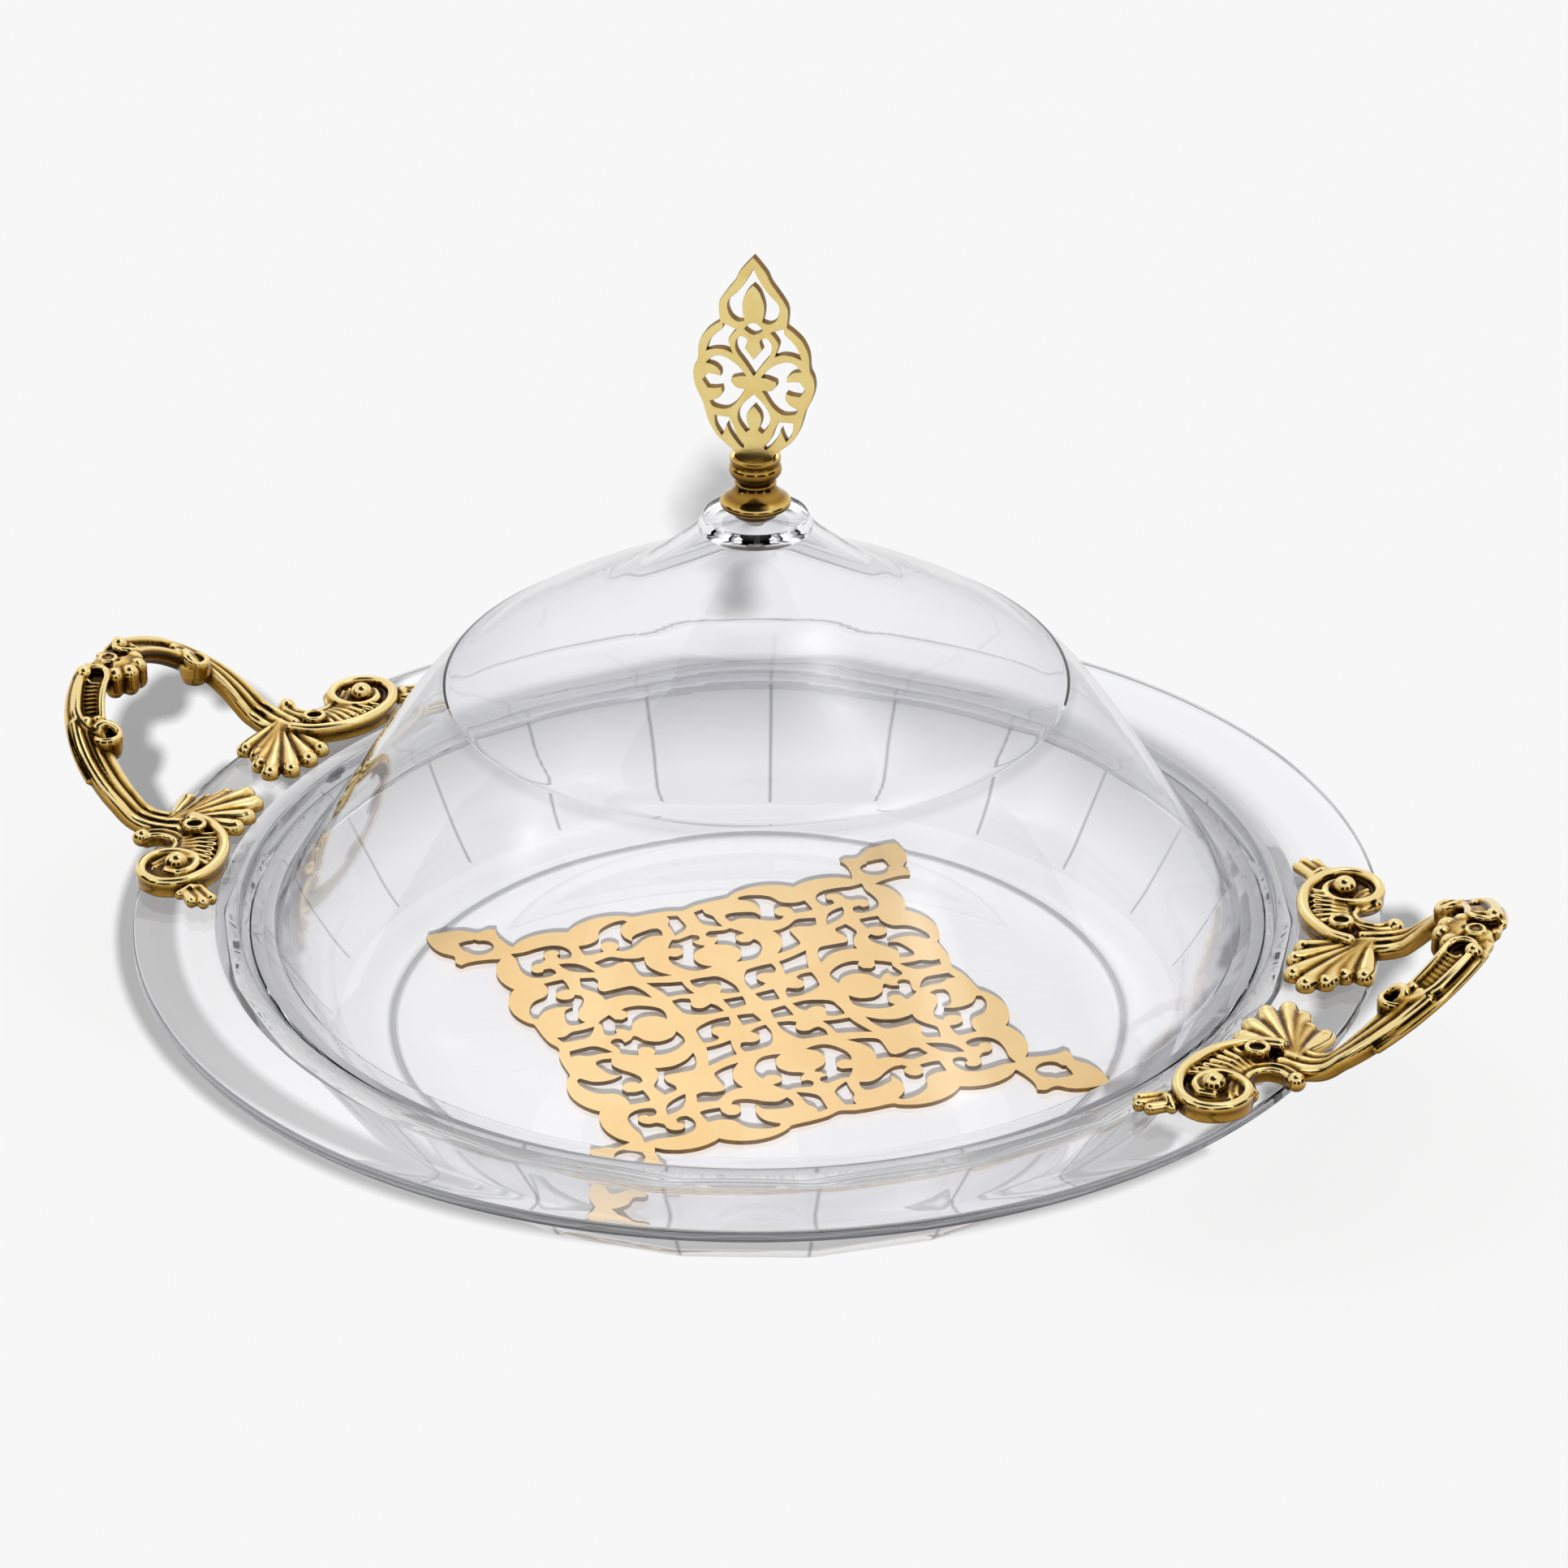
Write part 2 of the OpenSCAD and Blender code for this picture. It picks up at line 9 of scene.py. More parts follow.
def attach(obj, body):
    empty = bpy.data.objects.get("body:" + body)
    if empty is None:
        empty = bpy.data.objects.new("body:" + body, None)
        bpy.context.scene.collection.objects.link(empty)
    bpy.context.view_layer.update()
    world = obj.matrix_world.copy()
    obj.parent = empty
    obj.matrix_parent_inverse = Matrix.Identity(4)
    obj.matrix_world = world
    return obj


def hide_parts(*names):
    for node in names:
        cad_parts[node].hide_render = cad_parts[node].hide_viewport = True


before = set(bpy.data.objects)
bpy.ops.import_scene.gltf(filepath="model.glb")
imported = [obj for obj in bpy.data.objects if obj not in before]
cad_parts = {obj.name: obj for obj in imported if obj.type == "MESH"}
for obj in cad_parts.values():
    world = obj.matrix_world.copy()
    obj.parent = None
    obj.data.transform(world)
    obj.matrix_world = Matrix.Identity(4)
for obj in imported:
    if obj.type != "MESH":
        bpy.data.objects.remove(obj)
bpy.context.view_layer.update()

MM = 0.001


# The room: a white paper sweep lit by a flash near the lens and soft glowing
# cards. Black flags at the sides, behind the camera and overhead, all out of
# the picture, give the gilding its brown and the plastic its grey reflections.
def node(tree, kind, values=None, links=None, **settings):
    """Adds one shader node with its settings, values and links."""
    made = tree.nodes.new(kind)
    for name, value in settings.items():
        setattr(made, name, value)
    for name, value in (values or {}).items():
        made.inputs[name].default_value = value
    for name, source in (links or {}).items():
        tree.links.new(source, made.inputs[name])
    return made


def paint(code):
    """Turns an sRGB hex colour to linear."""
    parts = [int(code[i:i + 2], 16) / 255 for i in (1, 3, 5)]
    return [c / 12.92 if c <= 0.04045 else ((c + 0.055) / 1.055) ** 2.4
            for c in parts] + [1.0]


def blank(name):
    """An empty material, its node tree and its output node."""
    made = bpy.data.materials.new(name)
    made.use_nodes = True
    made.node_tree.nodes.clear()
    return made, made.node_tree, node(made.node_tree, "ShaderNodeOutputMaterial")


def settle(bm, name, materials, crease=30.0):
    """Makes an object at the origin from a finished bmesh in metres."""
    mesh = bpy.data.meshes.new(name)
    bm.to_mesh(mesh)
    bm.free()
    for material in materials:
        mesh.materials.append(material)
    mesh.shade_smooth()
    mesh.set_sharp_from_angle(angle=math.radians(crease))
    made = bpy.data.objects.new(name, mesh)
    bpy.context.scene.collection.objects.link(made)
    return made


def points_of(made):
    """The vertices among all that an operator made."""
    return [g for g in made if isinstance(g, bmesh.types.BMVert)]


def backdrop_rays(tree):
    """Is 1 for a ray from the eye, from a mirror or through clear plastic."""
    rays = node(tree, "ShaderNodeLightPath")
    seen = node(tree, "ShaderNodeMath", operation="MAXIMUM",
                links={0: rays.outputs["Is Camera Ray"], 1: rays.outputs["Is Glossy Ray"]})
    shown = node(tree, "ShaderNodeMath", operation="MAXIMUM",
                 links={0: seen.outputs[0], 1: rays.outputs["Is Transmission Ray"]})
    return shown.outputs[0]


scene = bpy.context.scene
scene.view_settings.view_transform = "Standard"
# light is turned back many times inside the clear walls before it comes out
wall_bounces = 20
for kind in ("max_bounces", "transmission_bounces", "glossy_bounces"):
    setattr(scene.cycles, kind, wall_bounces)

# Matt white paper: no gloss at all, and fibres of about 1.4 mm as the faintest
# grain. A small even glow, seen directly only, keeps its white from greying.
fibre_size, paper_glow = 1.43 * MM, 0.15
paper, tree, out = blank("matt_white_paper")
coords = node(tree, "ShaderNodeTexCoord")
fibre = node(tree, "ShaderNodeTexNoise", {"Scale": 1 / fibre_size, "Detail": 0.0},
             {"Vector": coords.outputs["Object"]})
tint = node(tree, "ShaderNodeMix", {"A": paint("#F5F5F5"), "B": paint("#F6F6F6")},
            {"Factor": fibre.outputs["Fac"]}, data_type="RGBA")
matt = node(tree, "ShaderNodeBsdfDiffuse", links={"Color": tint.outputs["Result"]})
evenly = node(tree, "ShaderNodeEmission", {"Color": paint("#F7F7F7"), "Strength": 1.0})
share = node(tree, "ShaderNodeMath", {1: paper_glow}, {0: backdrop_rays(tree)},
             operation="MULTIPLY")
both = node(tree, "ShaderNodeMixShader", links={
    0: share.outputs[0], 1: matt.outputs["BSDF"], 2: evenly.outputs["Emission"]})
tree.links.new(both.outputs[0], out.inputs["Surface"])

bm = bmesh.new()
bmesh.ops.create_circle(bm, cap_ends=True, segments=96, radius=6.0)
floor = settle(bm, "paper_floor", [paper])

world = bpy.data.worlds.new("studio")
scene.world = world
world.use_nodes = True
tree = world.node_tree
tree.nodes.clear()
lit = node(tree, "ShaderNodeBackground", {"Color": paint("#FFFFFF"), "Strength": 0.3})
white = node(tree, "ShaderNodeBackground", {"Color": paint("#F7F7F7"), "Strength": 1.0})
both = node(tree, "ShaderNodeMixShader", links={
    0: backdrop_rays(tree), 1: lit.outputs[0], 2: white.outputs[0]})
node(tree, "ShaderNodeOutputWorld", links={"Surface": both.outputs[0]})

# a flash close to the lens, high and to its right, throws the short shadows
flash = bpy.data.lights.new("flash", "SUN")
flash.energy = 4.44
flash.angle = math.radians(2.3)
stand = bpy.data.objects.new("flash", flash)
bearing, rise = math.radians(-64.95), math.radians(30.6)
toward = Vector((math.cos(rise) * math.cos(bearing), math.cos(rise) * math.sin(bearing),
                 math.sin(rise)))
stand.rotation_mode = "QUATERNION"
stand.rotation_quaternion = (-toward).to_track_quat("-Z", "Y")
stand.visible_glossy = False
stand.visible_transmission = False
scene.collection.objects.link(stand)

# white silk cards, bright in the middle and fading out, give highlights that
# have no edge; each has its place, its radius in metres and its strength
for name, place, size, power in (("soft_card_over", (0.35, 0.5, 1.7), 0.55, 3.6),
                                 ("soft_card_left", (-1.4, -0.9, 1.1), 0.4, 3.0),
                                 ("soft_card_right", (1.5, -0.5, 1.0), 0.4, 3.0),
                                 ("soft_card_back", (-0.75, 1.45, 1.15), 0.55, 2.2)):
    silk, tree, out = blank(name)
    coords = node(tree, "ShaderNodeTexCoord")
    ball_fade = node(tree, "ShaderNodeMapping", {"Scale": (1 / size, 1 / size, 1 / size)},
                     {"Vector": coords.outputs["Object"]})
    fade = node(tree, "ShaderNodeTexGradient", links={"Vector": ball_fade.outputs["Vector"]},
                gradient_type="QUADRATIC_SPHERE")
    glow = node(tree, "ShaderNodeEmission", {"Color": paint("#FFFFFF"), "Strength": power})
    through = node(tree, "ShaderNodeBsdfTransparent")
    both = node(tree, "ShaderNodeMixShader", links={
        0: fade.outputs["Fac"], 1: through.outputs["BSDF"], 2: glow.outputs["Emission"]})
    tree.links.new(both.outputs[0], out.inputs["Surface"])
    bm = bmesh.new()
    bmesh.ops.create_circle(bm, cap_ends=True, segments=48, radius=size)
    card = settle(bm, name, [silk])
    card.location = place
    card.rotation_mode = "QUATERNION"
    facing = Vector((0, 0, 0.06)) - Vector(place)
    card.rotation_quaternion = facing.to_track_quat("-Z", "Y")
    card.visible_camera = False
    card.visible_diffuse = False
    card.visible_shadow = False

# Black matt cloth: five flags stand round the object, each dark up to two
# thirds of its height and then fading to grey, and a round one hangs overhead.
flag_low, flag_high, flag_r, flag_reach = 0.06, 1.3, 1.9, 18
lid_z, lid_r, between_z = 2.0, 0.95, 1.6
cloth, tree, out = blank("black_flag_cloth")
coords = node(tree, "ShaderNodeTexCoord")
split = node(tree, "ShaderNodeSeparateXYZ", links={"Vector": coords.outputs["Object"]})
height = node(tree, "ShaderNodeMapRange", {"From Min": flag_low, "From Max": flag_high},
              {"Value": split.outputs["Z"]})
shade = node(tree, "ShaderNodeValToRGB", links={"Fac": height.outputs["Result"]})
shade.color_ramp.elements[0].color = paint("#14110D")
shade.color_ramp.elements[1].color = paint("#B4B4B4")
shade.color_ramp.elements.new(0.65).color = paint("#14110D")
upright = node(tree, "ShaderNodeMath", {1: between_z}, {0: split.outputs["Z"]},
               operation="LESS_THAN")
side = node(tree, "ShaderNodeMix", {"A": paint("#2A2723")},
            {"Factor": upright.outputs[0], "B": shade.outputs["Color"]}, data_type="RGBA")
glow = node(tree, "ShaderNodeEmission", {"Strength": 1.0}, {"Color": side.outputs["Result"]})
tree.links.new(glow.outputs["Emission"], out.inputs["Surface"])
bm = bmesh.new()
for middle in (-135, -88, -40, 8, 205):
    ends = [math.radians(middle + turn) for turn in (-flag_reach, flag_reach)]
    foot = [bm.verts.new((flag_r * math.cos(t), flag_r * math.sin(t), flag_low)) for t in ends]
    raised = bmesh.ops.extrude_edge_only(bm, edges=[bm.edges.new(foot)])["geom"]
    bmesh.ops.translate(bm, vec=(0, 0, flag_high - flag_low), verts=points_of(raised))
lid = bmesh.ops.create_circle(bm, cap_ends=True, segments=32, radius=lid_r)["verts"]
bmesh.ops.translate(bm, vec=(0, -0.2, lid_z), verts=lid)
flags = settle(bm, "dark_flags", [cloth])
flags.visible_camera = False
flags.visible_diffuse = False
flags.visible_shadow = False
flags.visible_transmission = False
# the cards and flags show in the object's gloss, and light nothing as lamps
for made in bpy.data.materials:
    made.cycles.emission_sampling = "NONE"

# The camera stands as the photograph's did: a long lens, about 1.6 m away,
# looking 28 degrees down, and turned 23 degrees to the right of the front.
camera_place = Vector((0.5608, -1.2961, 0.8411))
look, down, roll = math.radians(113.05), math.radians(28.105), math.radians(-0.148)
aim = Vector((math.cos(down) * math.cos(look), math.cos(down) * math.sin(look),
              -math.sin(down)))
focal_px, frame_px = 6202.1, 1932
lens = bpy.data.cameras.new("photo_camera")
lens.sensor_width = 36.0
lens.lens = focal_px / frame_px * lens.sensor_width
lens.clip_start, lens.clip_end = 0.05, 50.0
camera = bpy.data.objects.new("photo_camera", lens)
camera.location = camera_place
camera.rotation_mode = "QUATERNION"
camera.rotation_quaternion = (aim.to_track_quat("-Z", "Y")
                              @ Matrix.Rotation(roll, 4, "Z").to_quaternion())
scene.collection.objects.link(camera)
scene.camera = camera


# The tray: one injection-moulded piece of clear acrylic. A wide flat rim, a
# sunk ledge for the cover, a smooth well inside and flat facets outside.
def arc(cx, cy, r, start, end, count):
    """Points on an arc, angles in degrees."""
    return [(cx + r * math.cos(math.radians(start + (end - start) * k / count)),
             cy + r * math.sin(math.radians(start + (end - start) * k / count)))
            for k in range(count + 1)]


def turned(line, steps, start=0.0, loop=False):
    """Turns a line of (radius, height) in millimetres about Z."""
    bm = bmesh.new()
    points = [bm.verts.new((r * MM * math.cos(start), r * MM * math.sin(start), z * MM))
              for r, z in line]
    edges = [bm.edges.new(pair) for pair in zip(points, points[1:])]
    if loop:
        edges.append(bm.edges.new((points[-1], points[0])))
    bmesh.ops.spin(bm, geom=points + edges, cent=(0, 0, 0), axis=(0, 0, 1), angle=2 * math.pi,
                   steps=steps, use_merge=True, use_duplicate=False)
    bmesh.ops.remove_doubles(bm, verts=bm.verts, dist=0.01 * MM)
    bmesh.ops.dissolve_degenerate(bm, edges=bm.edges, dist=0.005 * MM)
    bmesh.ops.recalc_face_normals(bm, faces=bm.faces)
    return bm


# sizes in millimetres, leans in degrees off upright
rim_r, rim_t, tray_h = 200.0, 4.0, 48.0
seat_r, seat_z, mouth_r = 166.0, 42.0, 158.0
floor_t, bend_w, wall_t = 3.0, 17.5, 6.0
in_lean_deg, out_lean_deg = 30, 34
facets, facet_turn = 23, math.radians(2)
foot_z, collar_z = 1.4, tray_h - rim_t - 5
in_lean, lean = math.radians(in_lean_deg), math.radians(out_lean_deg)
wall_foot_r = mouth_r - (seat_z - floor_t) * math.tan(in_lean)
flat_r = wall_foot_r - bend_w
bend_r = bend_w / math.tan(math.radians((90 - in_lean_deg) / 2))
face_r = wall_foot_r + wall_t / math.cos(lean) - floor_t * math.tan(lean)
corner_r = face_r / math.cos(math.pi / facets) + 1.6

underside = [(r, 0) for r in (0, 12, 30, 55, 80, 105, face_r - 14)]
underside += [(corner_r - 0.8, 0), (corner_r - 0.1, 0.4)]
wall = [(corner_r + z * math.tan(lean), z)
        for z in [foot_z + (collar_z - foot_z) * k / 8 for k in range(9)]]
collar = [(wall[-1][0] + 1.4, collar_z + 3), (wall[-1][0] + 4, tray_h - rim_t)]
rim = ([(r, tray_h - rim_t) for r in (176, 184, 192, rim_r - 1)]
       + arc(rim_r - 1, tray_h - rim_t + 1, 1, -80, 0, 5)
       + arc(rim_r - 1, tray_h - 1, 1, 0, 90, 6)
       + [(r, tray_h) for r in (192, 184, 176)])
ledge = (arc(seat_r + 1, tray_h - 1, 1, 90, 180, 6)
         + arc(seat_r - 0.6, seat_z + 0.6, 0.6, 0, -90, 3)
         + arc(mouth_r + 1, seat_z - 1, 1, 90, 180 - in_lean_deg, 5))
bend = arc(flat_r, floor_t + bend_r, bend_r, -in_lean_deg, -90, 22)
well = ([p for p in bend if p[0] > flat_r + 2.4]
        + arc(flat_r + 0.6, floor_t - 0.3, 1.0, 50, 130, 6)
        + [(r, floor_t) for r in (flat_r - 1.4, 100, 80, 55, 30, 12, 0)])
tray_bm = turned(underside + wall + collar + rim + ledge + well, facets * 40, facet_turn)
# the wall is pressed flat between its corners, which keep a small round
step = 2 * math.pi / facets
edge_round = 0.02
for v in tray_bm.verts:
    r, z = math.hypot(v.co.x, v.co.y) / MM, v.co.z / MM
    if r > mouth_r - 40 and z < collar_z + 0.1 and r > corner_r - 1.0 + z * math.tan(lean):
        off = abs((math.atan2(v.co.y, v.co.x) - facet_turn) % step - step / 2)
        near = max(0.0, off - step / 2 + edge_round) / edge_round
        off -= 0.5 * near * near * edge_round
        flat = (face_r + z * math.tan(lean) - max(0.0, 0.8 - 1.6 * z)) / math.cos(off)
        v.co.x *= flat / r
        v.co.y *= flat / r

# Clear acrylic, clean from a polished mould: almost without colour, gloss as on
# glass (IOR 1.49, roughness 0), with painted shade: grey where it is seen at a
# slant and along its turned edges. The moulding leaves the faintest haze in
# clouds of about 22 mm.
haze_size, haze = 22.2 * MM, 0.03
clear, tree, out = blank("clear_moulded_acrylic")
edge_shade_mark = node(tree, "ShaderNodeAttribute", attribute_name="haze_and_painted_edge_shade")
grazing = node(tree, "ShaderNodeLayerWeight")
# painted shade: the colour greys where the surface is seen at a slant
slant_shade = node(tree, "ShaderNodeMath", {1: 4.5}, {0: grazing.outputs["Facing"]},
             operation="POWER")
# painted shade along the edges, stored with the haze, is added to it
darker = node(tree, "ShaderNodeMath", {1: 1.0}, {0: slant_shade.outputs[0], 2: edge_shade_mark.outputs["Fac"]},
              operation="MULTIPLY_ADD")
tint = node(tree, "ShaderNodeMix", {"A": paint("#FCFCFE"), "B": paint("#6A6B70")},
            {"Factor": darker.outputs[0]}, data_type="RGBA")
body = node(tree, "ShaderNodeBsdfPrincipled",
            {"IOR": 1.49, "Transmission Weight": 1.0, "Roughness": 0.0},
            {"Base Color": tint.outputs["Result"]})
tree.links.new(body.outputs["BSDF"], out.inputs["Surface"])


def store_haze_and_edge_shade(made, edge):
    """Stores a clear piece's faint haze and the painted shade along its edges on its mesh."""
    layer = made.data.attributes.new("haze_and_painted_edge_shade", "FLOAT", "POINT")
    for v in made.data.vertices:
        cloud = haze * max(0.0, noise.noise(v.co / haze_size) * 1.6) ** 2
        r, z, turn = math.hypot(v.co.x, v.co.y) / MM, v.co.z / MM, math.atan2(v.co.y, v.co.x)
        layer.data[v.index].value = max(cloud, edge(r, z, turn))
    made.visible_shadow = False
    made.visible_diffuse = False


def tray_edge_shade(r, z, turn):
    """How much painted shade a point of the tray gets: facet corners, floor line, ledge, rim."""
    off = abs((turn - facet_turn + step / 2) % step - step / 2)
    if off < 0.002 and 0.5 < z < collar_z + 0.1 and r > face_r - 2 + z * math.tan(lean):
        return 1.0
    if abs(r - flat_r - 0.6) < 1.2 and z < 5:
        return 0.8
    if min(abs(r - seat_r), abs(r - mouth_r)) < 1.2 and z > seat_z - 2:
        return 0.75
    return 0.95 if r > rim_r - 0.6 else 0.0


tray = settle(tray_bm, "clear_tray", [clear], 30.0)
store_haze_and_edge_shade(tray, tray_edge_shade)
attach(tray, "root")
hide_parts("tray")


# The tray's shadow: clear walls bend the light aside, and so throw grey shadows
# that a ray through clear plastic leaves out. Two unseen veils throw them: one
# under the front of the rim and a little wider, and a thin one round the wall.
for name, line, let_by in (("rim_shade", [(194, 46), (214.5, 46.5)], 0.2),
                           ("body_shade", [(139, 1), (142, 2), (166, 40), (192, 45)], 0.88)):
    veil, tree, out = blank(name)
    through = node(tree, "ShaderNodeBsdfTransparent", {"Color": (let_by, let_by, let_by, 1)})
    tree.links.new(through.outputs["BSDF"], out.inputs["Surface"])
    ring_bm = turned(line, 180)
    if name == "rim_shade":
        whole_ring = ring_bm.verts[:] + ring_bm.edges[:] + ring_bm.faces[:]
        bmesh.ops.bisect_plane(ring_bm, geom=whole_ring, plane_co=(0, -0.037, 0),
                               plane_no=(0.26, 0.966, 0), clear_outer=True)
    ring = settle(ring_bm, name, [veil])
    for ray in ("camera", "diffuse", "glossy", "transmission"):
        setattr(ring, "visible_" + ray, False)


# The cover: a bell of the same clear acrylic with a small foot flange, a
# crease at the shoulder and a flat disc on top that carries the knob.
def smooth(points, count, loop=False, corner=48.0):
    """A smooth curve through points, left sharp where they turn hard."""
    points = [Vector(p) for p in points]
    n = len(points)
    sharp = []
    for k in range(n):
        if not loop and k in (0, n - 1):
            sharp.append(True)
            continue
        a, b = points[k] - points[k - 1], points[(k + 1) % n] - points[k]
        sharp.append(a.length < 1e-9 or b.length < 1e-9 or math.degrees(a.angle(b)) > corner)
    drawn = []
    for k in range(n if loop else n - 1):
        p1, p2 = points[k], points[(k + 1) % n]
        p0 = 2 * p1 - p2 if sharp[k] else points[k - 1]
        p3 = 2 * p2 - p1 if sharp[(k + 1) % n] else points[(k + 2) % n]
        for i in range(count):
            t = i / count
            drawn.append(0.5 * (2 * p1 + (p2 - p0) * t + (2 * p0 - 5 * p1 + 4 * p2 - p3) * t * t
                                + (3 * p1 - p0 - 3 * p2 + p3) * t * t * t))
    if not loop:
        drawn.append(points[-1])
    return drawn


cover_h, cover_t, flange_t, flange_r = 140.0, 2.5, 2.5, 163.0
bell_r, crease_r, crease_h, disc_r = 155, 98.5, 83.5, 16.5
screw_r, disc_t, pad_r, air = 2.5, 3, 6.1, 0.06
wall_line = [(bell_r - (bell_r - crease_r) * a, flange_t + (crease_h - flange_t) * b)
             for b, a in (
    (0, 0), (0.115, 0.10), (0.22, 0.21), (0.33, 0.315), (0.445, 0.42), (0.55, 0.515),
    (0.66, 0.618), (0.77, 0.725), (0.885, 0.85), (1, 1))]
roof_line = [(crease_r - 81.3 * a, crease_h + 55.5 * b) for a, b in (
    (0, 0), (0.053, 0.045), (0.123, 0.12), (0.21, 0.20), (0.385, 0.345), (0.565, 0.475),
    (0.655, 0.55), (0.735, 0.62), (0.80, 0.692), (0.86, 0.765), (0.92, 0.84), (0.965, 0.905),
    (0.992, 0.955), (1, 0.985))]
bell = smooth(wall_line, 5)[:-1] + smooth(roof_line, 4)
inside = []
for k, p in enumerate(bell):
    along = (bell[min(k + 1, len(bell) - 1)] - bell[max(k - 1, 0)]).normalized()
    inside.append(p + cover_t * Vector((-along.y, along.x)))
inside = [p for p in inside if p.y < cover_h - 2 * cover_t and p.x > 9]
cover_line = ([(flange_r - 10.5, air), (flange_r - 0.5, air), (flange_r, 0.5), (flange_r, 2.0),
               (flange_r - 0.5, flange_t)]
              + [tuple(p) for p in bell]
              + arc(disc_r - 0.6, cover_h - 0.6, 0.6, 0, 90, 4)
              + [(screw_r, cover_h), (screw_r, cover_h - disc_t), (pad_r, cover_h - disc_t)]
              + [tuple(p) for p in reversed(inside)])
cover_bm = turned([(r, z + seat_z) for r, z in cover_line], 288, loop=True)
cover = settle(cover_bm, "clear_cover", [clear], 16.0)
# painted shade along the shoulder crease and the flange's edge
store_haze_and_edge_shade(cover, lambda r, z, turn: 0.3 if abs(r - crease_r) < 0.7 or r > 162 else 0.0)
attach(cover, "root")
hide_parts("cover")


# The openwork sheet: thin brass-plated steel, cut through and lightly tumbled,
# with a satin gilt face and cut edges darkened as painted shade. It lies loose
# in the well, and its four long corners curl up the bend of the wall.
def across(points):
    """A half hole and its mirror half, as one loop."""
    return list(points) + [(x, -y) for x, y in reversed(points) if abs(y) > 1e-6]


def spun(points, turns):
    """The same loop turned by quarter turns."""
    for _ in range(turns):
        points = [(-y, x) for x, y in points]
    return points


def cut_sheet(loops, thick, bevel):
    """Fills the first loop less the others, and thickens it upwards."""
    bm = bmesh.new()
    for loop in loops:
        points = [bm.verts.new((p[0], p[1], 0)) for p in loop]
        for k, v in enumerate(points):
            bm.edges.new((points[k - 1], v))
    bmesh.ops.triangle_fill(bm, use_beauty=True, use_dissolve=False, edges=bm.edges[:],
                            normal=(0, 0, 1))
    faces = bm.faces[:]
    bmesh.ops.recalc_face_normals(bm, faces=faces)
    raised = bmesh.ops.extrude_face_region(bm, geom=faces, use_keep_orig=True)["geom"]
    bmesh.ops.translate(bm, vec=(0, 0, thick), verts=points_of(raised))
    bmesh.ops.recalc_face_normals(bm, faces=bm.faces)
    rims = [e for e in bm.edges if len(e.link_faces) == 2
            and abs(e.verts[0].co.z - e.verts[1].co.z) < 1e-6
            and abs(e.link_faces[0].normal.z - e.link_faces[1].normal.z) > 0.5]
    for f in bm.faces:
        # the upright sides take the second material, which gives them painted shade
        f.material_index = 1 if abs(f.normal.z) < 0.5 else 0
    bmesh.ops.bevel(bm, geom=rims, offset=bevel, affect="EDGES", segments=2, profile=0.5,
                    material=-1, clamp_overlap=True)
    return bm


# half of one side, one corner's ring and from them the whole outline, in mm
edge_half = ([(91, 4.2), (91, 4.6)] + arc(73.8, 3.6, 17.4, 12, 76, 12)
             + arc(60.4, 20.6, 17.9, 0, 84, 14) + [(57.5, 43), (53, 46.6)])
ring_out = [(3, 5.6), (6.6, 8), (9.2, 10.6), (10.4, 12.9), (13, 12), (14.2, 9.8), (15.8, 8.3),
            (20, 8), (24, 6.2), (27.6, 3.2)]
corner_half = [(48.7, 48.7)] + list(reversed(edge_half)) + [(91 + x, y) for x, y in ring_out]
quarter = corner_half + [(121, 0)] + [(x, -y) for x, y in reversed(corner_half)][:-1]
outline = []
for k in range(4):
    outline += spun(list(reversed(quarter)), k)
holes_eight = [
    [(34.3, 7.9), (39.4, 8.3), (44, 10.3), (46.6, 13.2), (47.8, 15.4), (50, 13.2), (53.5, 11.8),
     (58, 11.1), (60.2, 8.2), (61.6, 5.5), (57.5, 3.4), (55.3, 4.8), (54.1, 8), (52.2, 10.2),
     (50.4, 10.2), (47.8, 7.4), (44.4, 3.9), (42, 3.6), (38, 5.3)],
    [(9.3, 6.5), (12.5, 10), (17, 12.3), (20.5, 13), (23, 11.5), (25.5, 9.5), (27.6, 7.2),
     (25.5, 4.7), (22.8, 3.8), (21.7, 5.2), (21, 7), (19, 8.3), (17, 7.9), (15.8, 6.2),
     (15.2, 3.8), (12.5, 4.4)],
    [(24.3, 18.4), (26, 15.6), (28.5, 13.4), (32, 13), (36.5, 14.3), (39.5, 16.8), (40.4, 19),
     (38, 19.6), (36.7, 22), (37.6, 24.4), (39.8, 25.1), (41.6, 24), (42.8, 23.4), (43.6, 26.5),
     (43.9, 29.2), (42, 30.4), (40.6, 32.6), (39.2, 34.9), (37.4, 35.2), (35.9, 34.1),
     (35.7, 32.4), (37.2, 30.8), (34.8, 29.8), (32.4, 30), (32.2, 28.6), (33.4, 25), (32.4, 21),
     (29.6, 18.7), (27, 18)],
    [(44, 31.8), (46.8, 35.3), (49.3, 37.8), (50.1, 41), (52.2, 43), (49, 44.8), (46, 42.2),
     (43.2, 39.4), (42.9, 36)],
    [(47.9, 30.4), (49.4, 33), (51.5, 34.3), (53.6, 33), (56, 29), (57, 26), (55.8, 23.2),
     (59, 24.5), (61.5, 26.8), (63, 29.6), (63.1, 32.5), (62.8, 34.6), (64.4, 35), (66.6, 33),
     (68.3, 29.6), (69, 26), (68.3, 23.4), (67.1, 21), (67.2, 18.4), (68.6, 15.6), (71, 13.4),
     (69, 11), (66.5, 8.5), (64.4, 10), (61.6, 13.3), (63.6, 15), (64.6, 17.4), (63.6, 19.5),
     (61.3, 20.3), (59, 19.2), (58.2, 17.3), (58.6, 15.8), (56.5, 15.6), (54.5, 17.5),
     (53.3, 21), (52.8, 25), (51.5, 28.4), (49.6, 29.8)]]
